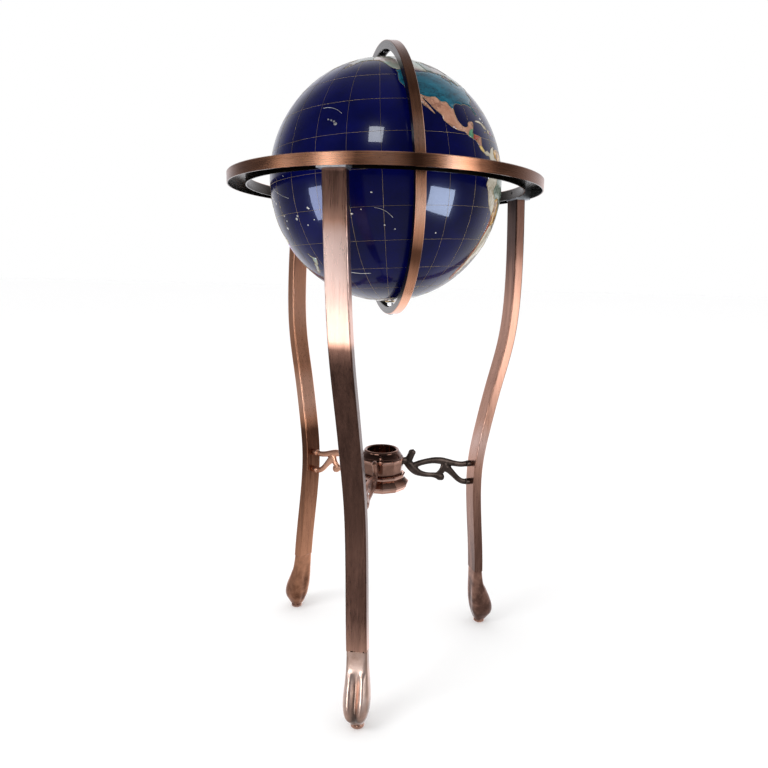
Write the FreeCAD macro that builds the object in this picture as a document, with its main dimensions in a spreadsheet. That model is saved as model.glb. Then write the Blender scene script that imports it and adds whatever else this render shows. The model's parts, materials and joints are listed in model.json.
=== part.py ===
"""Floor-standing gemstone globe on a three-legged stand, in millimetres.

Frame: +Z is up, the origin is on the floor under the middle of the horizon ring, and the
front leg stands towards -Y.  The globe turns on a pole axis inside a meridian ring, and the
meridian ring turns on two pivots inside the horizon ring.
"""
import FreeCAD, Part
import math
import os
import Sketcher

os.makedirs("parts", exist_ok=True)
doc = FreeCAD.newDocument("standing_globe")
Vector = FreeCAD.Vector
Rotation = FreeCAD.Rotation
Placement = FreeCAD.Placement
X_AXIS, Y_AXIS, Z_AXIS = Vector(1, 0, 0), Vector(0, 1, 0), Vector(0, 0, 1)

# ---------------------------------------------------------------- driving dimensions
SIZES = (
    ("globe_radius", 165.0, "outside of the polished stone skin"),
    ("stone_thickness", 2.5, "stone skin"),
    ("core_wall", 4.0, "moulded core under the stone"),
    ("glue_gap", 0.1, "between stone and core"),
    ("globe_height", 729.0, "globe centre above the floor"),
    ("ring_outer_radius", 223.0, "horizon ring"),
    ("ring_inner_radius", 196.4, "horizon ring"),
    ("ring_top", 735.2, "top face of the horizon ring"),
    ("ring_bottom", 720.6, "lower edges of the horizon ring"),
    ("ring_wall", 1.6, "sheet of the horizon ring channel"),
    ("ring_edge", 0.9, "rounding of the ring's top edges"),
    ("meridian_radius", 184.3, "outside of the meridian ring"),
    ("meridian_depth", 10.5, "radial depth of its channel"),
    ("meridian_width", 13.0, "width of its outer face"),
    ("meridian_wall", 1.6, "sheet of its channel"),
    ("gimbal_azimuth", -65.9, "direction of the near ring pivot, degrees"),
    ("polar_lean", 3.2, "rest angle of the pole axis, degrees"),
    ("pivot_radius", 2.5, "pivot screws and pole pins"),
    ("running_gap", 0.06, "radial clearance of a running fit"),
    ("leg_width", 29.0, "leg tube, across the leg"),
    ("leg_depth", 15.0, "leg tube, radially"),
    ("leg_wall", 1.5, "leg tube"),
    ("leg_corner", 1.8, "outer corner radius of the leg tube"),
    ("leg_lean", 2.34, "sideways lean of each leg, degrees"),
    ("lean_height", 290.0, "height where a leg crosses its own radial plane"),
    ("leg_top", 718.6, "top end of the leg tubes"),
    ("foot_height", 104.5, "joint between leg tube and cast foot"),
    ("glide_height", 6.2, "glide disc under each foot"),
    ("glide_radius", 9.4, "glide disc"),
    ("stem_radius", 4.0, "glide stem"),
    ("screw_radius", 3.0, "leg screws and hub screw"),
    ("arm_thickness", 8.0, "scroll arms"),
    ("arm_stub_height", 313.5, "where the arms meet the hub"),
    ("upper_boss_height", 298.0, "upper boss on the leg"),
    ("lower_boss_height", 267.0, "lower boss on the leg"),
    ("boss_radius", 5.2, "arm bosses"),
    ("tenon_radius", 3.0, "arm tenons in the leg wall"),
    ("stub_radius", 5.6, "round end of an arm in the hub"),
    ("stub_seat", 30.5, "radius of the seats cut in the hub"),
    ("arm_screw_radius", 2.5, "arm screws"),
    ("hub_sides", 12, "flat panels round the hub"),
    ("cup_bore", 22.7, "radius of the compass cup"),
    ("cup_floor", 321.0, "floor of the compass cup"),
    ("cup_lip", 335.4, "crest of the cup's lip"),
    ("hub_joint", 297.6, "joint between cup and skirt castings"),
    ("hub_cavity", 27.0, "radius of the hollow under the cup"),
    ("cup_floor_thickness", 3.0, "under the compass"),
    ("skirt_bottom", 274.5, "lower edge of the skirt"),
    ("skirt_web", 291.0, "underside of the skirt's web"),
    ("web_thickness", 3.0, "skirt's web"),
)
sheet = doc.addObject("Spreadsheet::Sheet", "dims")
for row, (alias, value, note) in enumerate(SIZES, start=1):
    sheet.set("A%d" % row, alias)
    sheet.set("B%d" % row, str(value))
    sheet.set("C%d" % row, note)
    sheet.setAlias("B%d" % row, alias)
doc.recompute()


def measure(text):
    """The number for a sum of sizes, such as "ring_top - 2*ring_wall + 0.5"."""
    total, sign = 0.0, 1.0
    for word in text.split():
        if word in ("+", "-"):
            sign = 1.0 if word == "+" else -1.0
            continue
        factor, _, name = word.rpartition("*")
        amount = float(name) if name[0].isdigit() else float(sheet.get(name))
        total += sign * amount * float(factor or 1)
        sign = 1.0
    return total


def formula(text):
    """The same sum as a FreeCAD expression on the spreadsheet."""
    words = []
    for word in text.split():
        factor, star, name = word.rpartition("*")
        named = name if not name[0].isalpha() else "dims." + name
        words.append(factor + star + named)
    return " ".join(words)


def bind(item, **sizes):
    """Tie an object's properties to the spreadsheet and return the object."""
    for name, text in sizes.items():
        item.setExpression(name, formula(text))
    return item


# ---------------------------------------------------------------- building helpers
def attach(sketch, body, plane):
    sketch.AttachmentSupport = [(origin_plane(body, plane), "")]
    sketch.MapMode = "FlatFace"


def origin_plane(body, role):
    return [item for item in body.Origin.OriginFeatures if item.Role == role][0]


def polygon(sketch, corners):
    """A closed outline whose corners are bound to the spreadsheet."""
    points = [Vector(measure(x), measure(y), 0) for x, y in corners]
    count = len(points)
    for index, point in enumerate(points):
        sketch.addGeometry(Part.LineSegment(point, points[(index + 1) % count]), False)
    for index in range(count):
        following = (index + 1) % count
        sketch.addConstraint(Sketcher.Constraint("Coincident", index, 2, following, 1))
    for index, corner in enumerate(corners):
        for kind, letter, text in (("DistanceX", "x", corner[0]), ("DistanceY", "y", corner[1])):
            number = sketch.addConstraint(
                Sketcher.Constraint(kind, -1, 1, index, 1, measure(text)))
            sketch.renameConstraint(number, "%s%d" % (letter, index))
            sketch.setExpression("Constraints.%s%d" % (letter, index), formula(text))


def turned(name, corners, plane="XZ_Plane"):
    """A body turned about the vertical axis of its sketch; corners are (radius, height)."""
    body = doc.addObject("PartDesign::Body", name)
    sketch = body.newObject("Sketcher::SketchObject", name + "_outline")
    attach(sketch, body, plane)
    polygon(sketch, corners)
    turn = body.newObject("PartDesign::Revolution", name + "_turn")
    turn.Profile = sketch
    turn.ReferenceAxis = (sketch, ["V_Axis"])
    turn.Angle = 360
    return body


def cylinder(name, radius, height, where=None):
    item = bind(doc.addObject("Part::Cylinder", name), Radius=radius, Height=height)
    item.Placement = where or Placement()
    return item


def cone(name, lower, upper, height, where=None):
    item = bind(doc.addObject("Part::Cone", name), Radius1=lower, Radius2=upper, Height=height)
    item.Placement = where or Placement()
    return item


def block(name, length, width, height, where):
    item = bind(doc.addObject("Part::Box", name), Length=length, Width=width, Height=height)
    item.Placement = where
    return item


def prism(name, sides, radius, height, where=None):
    item = bind(doc.addObject("Part::Prism", name), Circumradius=radius, Height=height)
    item.Polygon = sides
    item.Placement = where or Placement()
    return item


def cut(name, base, *tools):
    tool = tools[0] if len(tools) == 1 else fuse(name + "_cutters", *tools)
    item = doc.addObject("Part::Cut", name)
    item.Base = base
    item.Tool = tool
    return item


def fuse(name, *shapes):
    item = doc.addObject("Part::MultiFuse", name)
    item.Shapes = list(shapes)
    return item


def group(name, *items):
    item = doc.addObject("Part::Compound", name)
    item.Links = list(items)
    return item


def at(x, y, z, rotation=None):
    return Placement(Vector(x, y, z), rotation or Rotation())


def round_stand(azimuth):
    """The frame of one leg: its X axis points outwards, Z stays up."""
    return Placement(Vector(), Rotation(Z_AXIS, azimuth))


def outwards(radius, height, side=0.0):
    """A placement whose own Z axis points radially outwards."""
    return Placement(Vector(radius, side, height), Rotation(Y_AXIS, 90))


NODES = []


def node(name, item, where=None):
    """Name a finished piece and put it in its place."""
    item.Label = name
    if where is not None:
        item.Placement = where.multiply(item.Placement)
    NODES.append(item)
    return item


# ---------------------------------------------------------------- layout
LEGS = (("front", -90.0), ("right", 30.0), ("left", 150.0))
lean = math.radians(measure("leg_lean"))


def lean_frame(azimuth):
    """The leaning frame of a leg: turned about its radial line at lean_height."""
    height = measure("lean_height")
    tilt = Placement(Vector(), Rotation(X_AXIS, measure("leg_lean")), Vector(0, 0, height))
    return round_stand(azimuth).multiply(tilt)


def lean_shift(height):
    """Sideways offset of a leaning leg's centre line at a height."""
    return (measure("lean_height") - height) * math.tan(lean)


# centre line of a leg from the foot joint to the ring: radius and height
LEG_LINE = ((177.7, 104.5), (166.9, 220.0), (164.7, 300.0), (173.9, 360.0), (188.9, 430.0),
            (205.0, 500.0), (211.0, 590.0), (204.9, 722.0))
WAIST_RADIUS = LEG_LINE[2][0]
TOP_RADIUS = LEG_LINE[-1][0]


def leg_curve(flat):
    """The leg's centre line as a spline, in sketch (flat) or leg-frame coordinates."""
    if flat:
        points = [Vector(radius, height, 0) for radius, height in LEG_LINE]
    else:
        points = [Vector(radius, 0, height) for radius, height in LEG_LINE]
    curve = Part.BSplineCurve()
    curve.interpolate(points)
    return curve


def leg_radius(height):
    """Radius of the leg's centre line at a height near its narrowest point."""
    curve = leg_curve(flat=False)
    return curve.value(curve.parameter(Vector(WAIST_RADIUS, 0, height))).x


# the globe's own frame: X along the ring pivots, Z along the pole axis
globe_frame = at(0, 0, measure("globe_height")).multiply(
    Placement(Vector(), Rotation(Z_AXIS, measure("gimbal_azimuth"))))
pole_frame = globe_frame.multiply(Placement(Vector(), Rotation(X_AXIS, measure("polar_lean"))))

screw_radius_out = math.hypot(TOP_RADIUS, lean_shift(measure("leg_top")))
screw_turn = math.degrees(math.atan2(lean_shift(measure("leg_top")), TOP_RADIUS))


# ---------------------------------------------------------------- horizon ring
def make_horizon_ring():
    inner, outer = "ring_inner_radius", "ring_outer_radius"
    ring = turned("ring_channel", (
        (inner, "ring_bottom"),
        (inner + " + ring_wall", "ring_bottom"),
        (inner + " + ring_wall", "ring_top - ring_wall"),
        (outer + " - ring_wall", "ring_top - ring_wall"),
        (outer + " - ring_wall", "ring_bottom"),
        (outer, "ring_bottom"),
        (outer, "ring_top - ring_edge"),
        (outer + " - ring_edge", "ring_top"),
        (inner + " + ring_edge", "ring_top"),
        (inner, "ring_top - ring_edge")))
    holes = []
    for name, azimuth in LEGS:
        spot = round_stand(azimuth + screw_turn).multiply(at(screw_radius_out, 0, 0))
        holes.append(cylinder("roof_hole_" + name, "screw_radius + 0.2", "30",
                              spot.multiply(at(0, 0, measure("ring_bottom")))))
        holes.append(cone("roof_sink_" + name, "screw_radius + 0.2", "2*screw_radius + 0.4", "3.2",
                          spot.multiply(at(0, 0, measure("ring_top - 3.1")))))
    for number, (turn, radius) in enumerate(((0, "pivot_radius + 0.1"), (180, "pivot_radius + 0.1"),
                                             (90, "2.0"), (270, "2.0"))):
        holes.append(cylinder("wall_hole_%d" % number, radius, "6 + ring_wall",
                              round_stand(measure("gimbal_azimuth") + turn).multiply(
                                  outwards(measure("ring_inner_radius - 3"),
                                           measure("globe_height")))))
    node("horizon_ring", cut("ring_drilled", ring, *holes))


def sector(name, inner, outer, height, half_angle, where):
    """A piece of a flat ring, centred on its own X axis."""
    plate = cylinder(name + "_outer", outer, height, Placement(Vector(), Rotation(Z_AXIS, -half_angle)))
    plate.Angle = 2 * half_angle
    hole = cylinder(name + "_inner", inner, height)
    item = cut(name, plate, hole)
    item.Placement = where
    return item


def make_leg_fixings():
    """Packing block, end cap and countersunk screw that hold each leg to the ring."""
    screws = []
    inner, outer = "ring_inner_radius + ring_wall + 0.2", "ring_outer_radius - ring_wall - 0.2"
    for name, azimuth in LEGS:
        turned_out = round_stand(azimuth + screw_turn)
        hole_spot = turned_out.multiply(at(screw_radius_out, 0, measure("leg_top - 20")))
        packing = sector("packing_" + name, inner, outer, "ring_top - ring_wall - leg_top - 2.7",
                         5.0, at(0, 0, measure("leg_top + 2.6")).multiply(turned_out))
        bore = cylinder("packing_bore_" + name, "screw_radius + 0.1", "60", hole_spot)
        sink = cone("packing_sink_" + name, "screw_radius + 0.1", "2*screw_radius + 0.3", "3.1",
                    turned_out.multiply(at(screw_radius_out, 0, measure("ring_top - 3.1"))))
        node("ring_block_" + name, cut("packing_drilled_" + name, packing, bore, sink))

        plate = sector("cap_plate_" + name, inner, outer, "2.4", 4.6,
                       at(0, 0, measure("leg_top + 0.1")).multiply(turned_out))
        spigot = block("cap_spigot_" + name, "leg_depth - 2*leg_wall - 2", "leg_width - 2*leg_wall - 3",
                       "12", round_stand(azimuth).multiply(
                           at(TOP_RADIUS - measure("0.5*leg_depth - leg_wall - 1"),
                              lean_shift(measure("leg_top")) - measure("0.5*leg_width - leg_wall - 1.5"),
                              measure("leg_top - 10"))))
        tapped = cylinder("cap_tapping_" + name, "screw_radius + 0.05", "60", hole_spot)
        node("leg_cap_" + name, cut("cap_drilled_" + name, fuse("cap_" + name, plate, spigot), tapped))

        screw = turned("screw_blank_" + name, (
            ("0", "0"), ("screw_radius", "0"), ("screw_radius", "22"),
            ("2*screw_radius", "25"), ("0", "25")))
        slots = [block("screw_slot_%s_%d" % (name, turn), "7", "1.2", "1.6",
                       Placement(Vector(), Rotation(Z_AXIS, turn)).multiply(at(-3.5, -0.6, 23.6)))
                 for turn in (0, 90)]
        screw = cut("screw_" + name, screw, *slots)
        screw.Placement = turned_out.multiply(at(screw_radius_out, 0, measure("ring_top - 25.1")))
        screws.append(screw)
    node("leg_screws", group("screws", *screws))


# ---------------------------------------------------------------- legs and feet
def rounded_box(sketch, width, depth, corner):
    """A rounded rectangle about the sketch's origin, bound to the spreadsheet."""
    half_x, half_y, bend = measure(depth) / 2, measure(width) / 2, measure(corner)
    first = sketch.GeometryCount
    corners = ((1, 1, 0), (-1, 1, 90), (-1, -1, 180), (1, -1, 270))
    for sign_x, sign_y, start in corners:
        centre = Vector(sign_x * (half_x - bend), sign_y * (half_y - bend), 0)
        begin, end = math.radians(start), math.radians(start + 90)
        sketch.addGeometry(Part.ArcOfCircle(Part.Circle(centre, Z_AXIS, bend), begin, end), False)
    ends = [sketch.Geometry[first + index] for index in range(4)]
    for index in range(4):
        line = Part.LineSegment(ends[index].EndPoint, ends[(index + 1) % 4].StartPoint)
        sketch.addGeometry(line, False)
    for index in range(4):
        arc, line, following = first + index, first + 4 + index, first + (index + 1) % 4
        sketch.addConstraint(Sketcher.Constraint("Tangent", arc, 2, line, 1))
        sketch.addConstraint(Sketcher.Constraint("Tangent", line, 2, following, 1))
        number = sketch.addConstraint(Sketcher.Constraint("Radius", arc, bend))
        sketch.renameConstraint(number, "bend%d" % arc)
        sketch.setExpression("Constraints.bend%d" % arc, formula(corner))
        letter = "X" if index % 2 else "Y"
        sign = (1, -1, -1, 1)[index]
        half = (width, depth)[index % 2]
        number = sketch.addConstraint(Sketcher.Constraint(
            "Distance" + letter, -1, 1, line, 1, sign * measure(half) / 2))
        sketch.renameConstraint(number, "side%d" % line)
        text = "0.5*" + half.split()[0] + "".join(
            " - 0.5*" + word for word in half.split(" - ")[1:])
        sketch.setExpression("Constraints.side%d" % line,
                             ("" if sign > 0 else "-") + "(" + formula(text) + ")")


def make_leg(name, azimuth):
    body = doc.addObject("PartDesign::Body", "tube_" + name)
    section = body.newObject("Sketcher::SketchObject", "section_" + name)
    attach(section, body, "XY_Plane")
    section.AttachmentOffset = at(LEG_LINE[0][0], 0, LEG_LINE[0][1])
    rounded_box(section, "leg_width", "leg_depth", "leg_corner")
    path = body.newObject("Sketcher::SketchObject", "path_" + name)
    attach(path, body, "XZ_Plane")
    path.addGeometry(leg_curve(flat=True), False)
    doc.recompute()
    sweep = body.newObject("PartDesign::AdditivePipe", "sweep_" + name)
    sweep.Profile = section
    sweep.Spine = path
    doc.recompute()
    hollow_section = body.newObject("Sketcher::SketchObject", "hollow_section_" + name)
    attach(hollow_section, body, "XY_Plane")
    hollow_section.AttachmentOffset = section.AttachmentOffset
    rounded_box(hollow_section, "leg_width - 2*leg_wall", "leg_depth - 2*leg_wall", "0.4*leg_wall")
    hollow = body.newObject("PartDesign::SubtractivePipe", "hollow_" + name)
    hollow.Profile = hollow_section
    hollow.Spine = path
    body.Tip = hollow
    body.Placement = lean_frame(azimuth)

    size = measure("2*leg_width")
    above = block("above_" + name, "2*leg_width", "2*leg_width", "leg_width",
                  round_stand(azimuth).multiply(
                      at(TOP_RADIUS - size / 2, -size, measure("leg_top"))))
    tools = [above]
    for level in ("upper_boss_height", "lower_boss_height"):
        radius = leg_radius(measure(level)) - measure("0.5*leg_depth")
        tools.append(cylinder("%s_hole_%s" % (level, name), "tenon_radius + 0.1", "leg_wall + 6",
                              round_stand(azimuth).multiply(outwards(radius - 4, measure(level)))))
    node("leg_" + name, cut("leg_cut_" + name, body, *tools))


# the cast foot: height, centre radius, half width, half depth and how deep the cleft is
HOOF = ((104.5, 177.7, 14.5, 7.5, 0.0), (88.0, 179.6, 14.8, 9.2, 0.04), (65.0, 184.0, 16.4, 14.0, 0.14),
        (40.0, 190.6, 18.2, 18.4, 0.17), (24.0, 193.2, 17.4, 18.2, 0.15), (12.5, 192.6, 13.0, 13.8, 0.08),
        (5.0, 191.9, 10.4, 10.4, 0.02))


def hoof_section(height, centre, half_width, half_depth, cleft):
    """A rounded section with a cleft in the middle of its outer face."""
    count = 24
    squareness = 0.42 if height > 60 else 0.62
    points = []
    for index in range(count):
        angle = 2 * math.pi * index / count
        across = math.copysign(abs(math.sin(angle)) ** squareness, math.sin(angle))
        out = math.copysign(abs(math.cos(angle)) ** squareness, math.cos(angle))
        away = min(angle, 2 * math.pi - angle)
        notch = 1 - 2 * cleft * math.exp(-(away / 0.32) ** 2)
        points.append(Vector(centre + half_depth * out * notch, half_width * across, height))
    curve = Part.BSplineCurve()
    curve.interpolate(Points=points, PeriodicFlag=True)
    return Part.Wire([curve.toShape()])


def make_foot(name, azimuth):
    """Cloven foot casting with a tenon in the leg tube and a bore for its glide."""
    hoof = Part.makeLoft([hoof_section(*row) for row in HOOF], True, False)
    tenon_width, tenon_depth = measure("leg_width - 2*leg_wall - 1"), measure("leg_depth - 2*leg_wall - 1.4")
    tenon = Part.makeBox(tenon_depth, tenon_width, 12, Vector(
        LEG_LINE[0][0] - tenon_depth / 2, -tenon_width / 2, measure("foot_height") - 1))
    casting = hoof.fuse(tenon)
    casting.rotate(Vector(0, 0, measure("lean_height")), X_AXIS, measure("leg_lean"))
    foot_radius, foot_shift = HOOF[-1][1], lean_shift(0)
    floor_side = Part.makeBox(80, 80, 40, Vector(foot_radius - 40, foot_shift - 40,
                                                 measure("glide_height") - 40))
    stem_bore = Part.makeCylinder(measure("stem_radius + 0.05"), 14, Vector(foot_radius, foot_shift, 0))
    item = doc.addObject("Part::Feature", "casting_" + name)
    item.Shape = casting.cut(floor_side).cut(stem_bore).removeSplitter()
    node("foot_" + name, item, round_stand(azimuth))

    glide = turned("glide_blank_" + name, (
        ("0", "0"), ("glide_radius - 1.6", "0"), ("glide_radius", "1.6"), ("glide_radius", "glide_height - 1.4"),
        ("glide_radius - 1.2", "glide_height - 0.1"), ("stem_radius", "glide_height - 0.1"),
        ("stem_radius", "13"), ("0", "13")))
    glide.Placement = at(foot_radius, foot_shift, 0)
    node("glide_" + name, glide, round_stand(azimuth))


# ---------------------------------------------------------------- scroll arms
ARM_OUTLINE = (
    (36.0, 318.9), (40.5, 320.6), (44.5, 326.0), (48.0, 331.5), (52.2, 333.6), (56.8, 330.6),
    (55.6, 324.6), (51.6, 317.0), (52.6, 311.2), (60.0, 310.0), (73.0, 313.2), (88.0, 314.8),
    (103.0, 314.0), (117.0, 310.6), (132.0, 306.2), (146.0, 303.0), (151.5, 302.6), (151.5, 293.4),
    (142.0, 294.4), (133.5, 297.6), (125.0, 301.8), (121.0, 298.2), (126.5, 291.0), (136.0, 279.8),
    (147.0, 272.6), (152.0, 271.8), (152.0, 262.2), (146.0, 262.6), (136.0, 267.0), (126.5, 277.0),
    (119.0, 285.4), (112.0, 290.4), (107.0, 287.6), (107.4, 279.4), (103.6, 275.8), (97.6, 277.6),
    (91.0, 282.6), (78.0, 283.4), (66.0, 286.4), (52.0, 295.0), (42.0, 303.6), (36.0, 308.2))
ARM_WINDOW = (
    (61.0, 298.6), (66.0, 303.0), (76.0, 305.6), (90.0, 306.6), (99.6, 305.4), (103.2, 299.6),
    (101.6, 292.6), (94.0, 288.6), (82.0, 288.4), (69.0, 292.0))


def closed_curve(points):
    curve = Part.BSplineCurve()
    curve.interpolate(Points=[Vector(x, y, 0) for x, y in points], PeriodicFlag=True)
    return curve


def make_arm(name, azimuth):
    """A flat scroll casting with a round stub for the hub and two bosses for the leg."""
    body = doc.addObject("PartDesign::Body", "scroll_" + name)
    outline = body.newObject("Sketcher::SketchObject", "scroll_outline_" + name)
    attach(outline, body, "XZ_Plane")
    for points in (ARM_OUTLINE, ARM_WINDOW):
        outline.addGeometry(closed_curve(points), False)
    pad = body.newObject("PartDesign::Pad", "scroll_pad_" + name)
    pad.Profile = outline
    pad.Midplane = True
    bind(pad, Length="arm_thickness")
    stub_place = outwards(measure("stub_seat + 0.1"), measure("arm_stub_height"))
    bore = cylinder("scroll_bore_" + name, "arm_screw_radius + 0.05", "14", stub_place)
    stub = turned("stub_" + name, (
        ("arm_screw_radius + 0.05", "0"), ("stub_radius", "0"), ("stub_radius", "10"),
        ("arm_screw_radius + 0.05", "10")))
    stub.Placement = stub_place
    solids = [cut("scroll_drilled_" + name, body, bore), stub]
    for level in ("upper_boss_height", "lower_boss_height"):
        face = leg_radius(measure(level)) - measure("0.5*leg_depth")
        boss = turned("%s_%s" % (level, name), (
            ("0", "0"), ("boss_radius", "0"), ("boss_radius", "9"), ("tenon_radius", "9"),
            ("tenon_radius", "12"), ("0", "12")))
        boss.Placement = outwards(face - 9.5, measure(level))
        solids.append(boss)
    node("arm_" + name, fuse("arm_casting_" + name, *solids), round_stand(azimuth))


def make_arm_screws():
    screws = []
    for name, azimuth in LEGS:
        blank = turned("arm_screw_blank_" + name, (
            ("0", "0"), ("arm_screw_radius + 1.6", "0"), ("arm_screw_radius + 1.6", "3.2"),
            ("arm_screw_radius", "3.2"), ("arm_screw_radius", "15"), ("0", "15")))
        socket = prism("arm_screw_socket_" + name, 6, "1.9", "2.2", at(0, 0, -0.1))
        screw = cut("arm_screw_" + name, blank, socket)
        screw.Placement = round_stand(azimuth).multiply(
            outwards(measure("hub_cavity - 3.4"), measure("arm_stub_height")))
        screws.append(screw)
    node("arm_screws", group("arm_screw_set", *screws))


# ---------------------------------------------------------------- hub
def panelled(name, rows):
    """A solid of flat panels through twelve-sided sections of (radius, height)."""
    sections = []
    for number, (radius, height) in enumerate(rows):
        section = bind(doc.addObject("Part::RegularPolygon", "%s_%d" % (name, number)),
                       Circumradius=radius, Polygon="hub_sides")
        section.Placement = at(0, 0, measure(height), Rotation(Z_AXIS, 15))
        sections.append(section)
    item = doc.addObject("Part::Loft", name)
    item.Sections = sections
    item.Solid = True
    item.Ruled = True
    return item


def make_compass_cup():
    panels = panelled("cup_panels", (
        ("32.4", "hub_joint"), ("33.0", "hub_joint + 2.4"), ("35.2", "cup_floor - 3"),
        ("35.2", "cup_floor")))
    crown = turned("cup_crown", (
        ("0", "cup_floor - 1"), ("34.0", "cup_floor - 1"), ("34.4", "cup_floor + 1.2"),
        ("33.6", "cup_floor + 2.6"), ("32.0", "cup_floor + 3.4"), ("32.2", "cup_floor + 4.6"),
        ("30.6", "cup_floor + 7.2"), ("28.6", "cup_lip - 4.4"), ("27.6", "cup_lip - 3.4"),
        ("27.4", "cup_lip - 1.8"), ("26.4", "cup_lip - 0.5"), ("25.0", "cup_lip"),
        ("23.7", "cup_lip - 0.5"), ("cup_bore", "cup_lip - 1.6"), ("cup_bore", "cup_floor"),
        ("0", "cup_floor")))
    below_floor = "cup_floor - cup_floor_thickness"
    cutters = [
        cylinder("cup_hollow", "cup_bore", "cup_lip - cup_floor", at(0, 0, measure("cup_floor"))),
        cylinder("lower_hollow", "hub_cavity", below_floor + " - hub_joint + 1",
                 at(0, 0, measure("hub_joint - 1"))),
        cylinder("cup_screw_hole", "screw_radius + 0.1", "20", at(0, 0, measure("cup_floor - 10"))),
        cone("cup_screw_sink", "screw_radius + 0.1", "2*screw_radius + 0.3", "2.6",
             at(0, 0, measure("cup_floor - 2.6")))]
    for name, azimuth in LEGS:
        turn = round_stand(azimuth)
        cutters.append(cylinder("seat_" + name, "stub_radius + 0.1", "10", turn.multiply(
            outwards(measure("stub_seat"), measure("arm_stub_height")))))
        cutters.append(cylinder("seat_bore_" + name, "arm_screw_radius + 0.2", "10", turn.multiply(
            outwards(measure("hub_cavity - 2"), measure("arm_stub_height")))))
    node("compass_cup", cut("cup_casting", fuse("cup_blank", panels, crown), *cutters))


def make_skirt():
    outside = panelled("skirt_panels", (
        ("39.4", "skirt_bottom"), ("43.2", "skirt_bottom + 5.6"), ("43.2", "skirt_bottom + 8.4"),
        ("34.8", "skirt_web + 0.2"), ("37.6", "skirt_web + 2.4"), ("37.8", "hub_joint - 1.4"),
        ("36.2", "hub_joint - 0.1")))
    hollow = cylinder("skirt_hollow", "32", "skirt_web - skirt_bottom + 1",
                      at(0, 0, measure("skirt_bottom - 1")))
    recess = cylinder("skirt_recess", "hub_cavity", "10", at(0, 0, measure("skirt_web + web_thickness")))
    hole = cylinder("skirt_hole", "screw_radius + 0.1", "10", at(0, 0, measure("skirt_web - 2")))
    node("hub_skirt", cut("skirt_casting", outside, hollow, recess, hole))


def make_hub_fixings():
    blank = turned("hub_screw_blank", (
        ("0", "skirt_web - 9"), ("screw_radius", "skirt_web - 9"), ("screw_radius", "cup_floor - 2.6"),
        ("2*screw_radius", "cup_floor - 0.1"), ("0", "cup_floor - 0.1")))
    socket = prism("hub_screw_socket", 6, "2.3", "3", at(0, 0, measure("cup_floor - 2.4")))
    node("hub_screw", cut("hub_screw_cut", blank, socket))
    washer = cylinder("washer_disc", "8", "1.2", at(0, 0, measure("skirt_web - 1.3")))
    washer_hole = cylinder("washer_hole", "screw_radius + 0.2", "3", at(0, 0, measure("skirt_web - 2")))
    node("hub_washer", cut("washer", washer, washer_hole))
    nut = prism("nut_hexagon", 6, "5.8", "5", at(0, 0, measure("skirt_web - 6.4")))
    nut_hole = cylinder("nut_hole", "screw_radius + 0.05", "8", at(0, 0, measure("skirt_web - 8")))
    node("hub_nut", cut("nut", nut, nut_hole))


# ---------------------------------------------------------------- ring pivots
def make_ring_pivots():
    """Two screws fixed in the horizon ring, which carry the meridian ring on bushes."""
    nuts, spacers = [], []
    for name, turn in (("near", 0), ("far", 180)):
        facing = globe_frame.multiply(round_stand(turn))
        blank = turned("pivot_blank_" + name, (
            ("0", "0"), ("pivot_radius - 0.5", "0"), ("pivot_radius", "0.5"),
            ("pivot_radius", "24.5"), ("pivot_radius - 0.5", "25"), ("0", "25")))
        slot = block("pivot_slot_" + name, "8", "0.9", "1.2", at(-4, -0.45, -0.1))
        screw = cut("pivot_" + name, blank, slot)
        node("pivot_screw_" + name, screw, facing.multiply(outwards(measure("meridian_radius - 5"), 0)))

        nut = prism("pivot_nut_hexagon_" + name, 6, "4.6", "4", Placement())
        nut_hole = cylinder("pivot_nut_hole_" + name, "pivot_radius + 0.05", "4")
        nut = cut("pivot_nut_" + name, nut, nut_hole)
        nut.Placement = facing.multiply(
            outwards(measure("ring_inner_radius + ring_wall + 0.1"), 0)).multiply(
                Placement(Vector(), Rotation(Z_AXIS, 90)))
        nuts.append(nut)

        tube = cylinder("spacer_tube_" + name, "4", "ring_inner_radius - meridian_radius - 1.8")
        tube_hole = cylinder("spacer_hole_" + name, "pivot_radius + 0.1", "20")
        spacer = cut("spacer_" + name, tube, tube_hole)
        spacer.Placement = facing.multiply(outwards(measure("meridian_radius + 1.6"), 0))
        spacers.append(spacer)

        bush = turned("bush_blank_" + name, (
            ("pivot_radius + running_gap", "0"), ("4.2", "0"), ("4.2", "4.1"), ("5.8", "4.1"),
            ("5.8", "5.1"), ("pivot_radius + running_gap", "5.1")))
        node("pivot_bush_" + name, bush, pole_frame.multiply(round_stand(turn)).multiply(
            outwards(measure("meridian_radius - 4"), 0)))
    node("pivot_nuts", group("pivot_nut_pair", *nuts))
    node("pivot_spacers", group("pivot_spacer_pair", *spacers))


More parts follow.
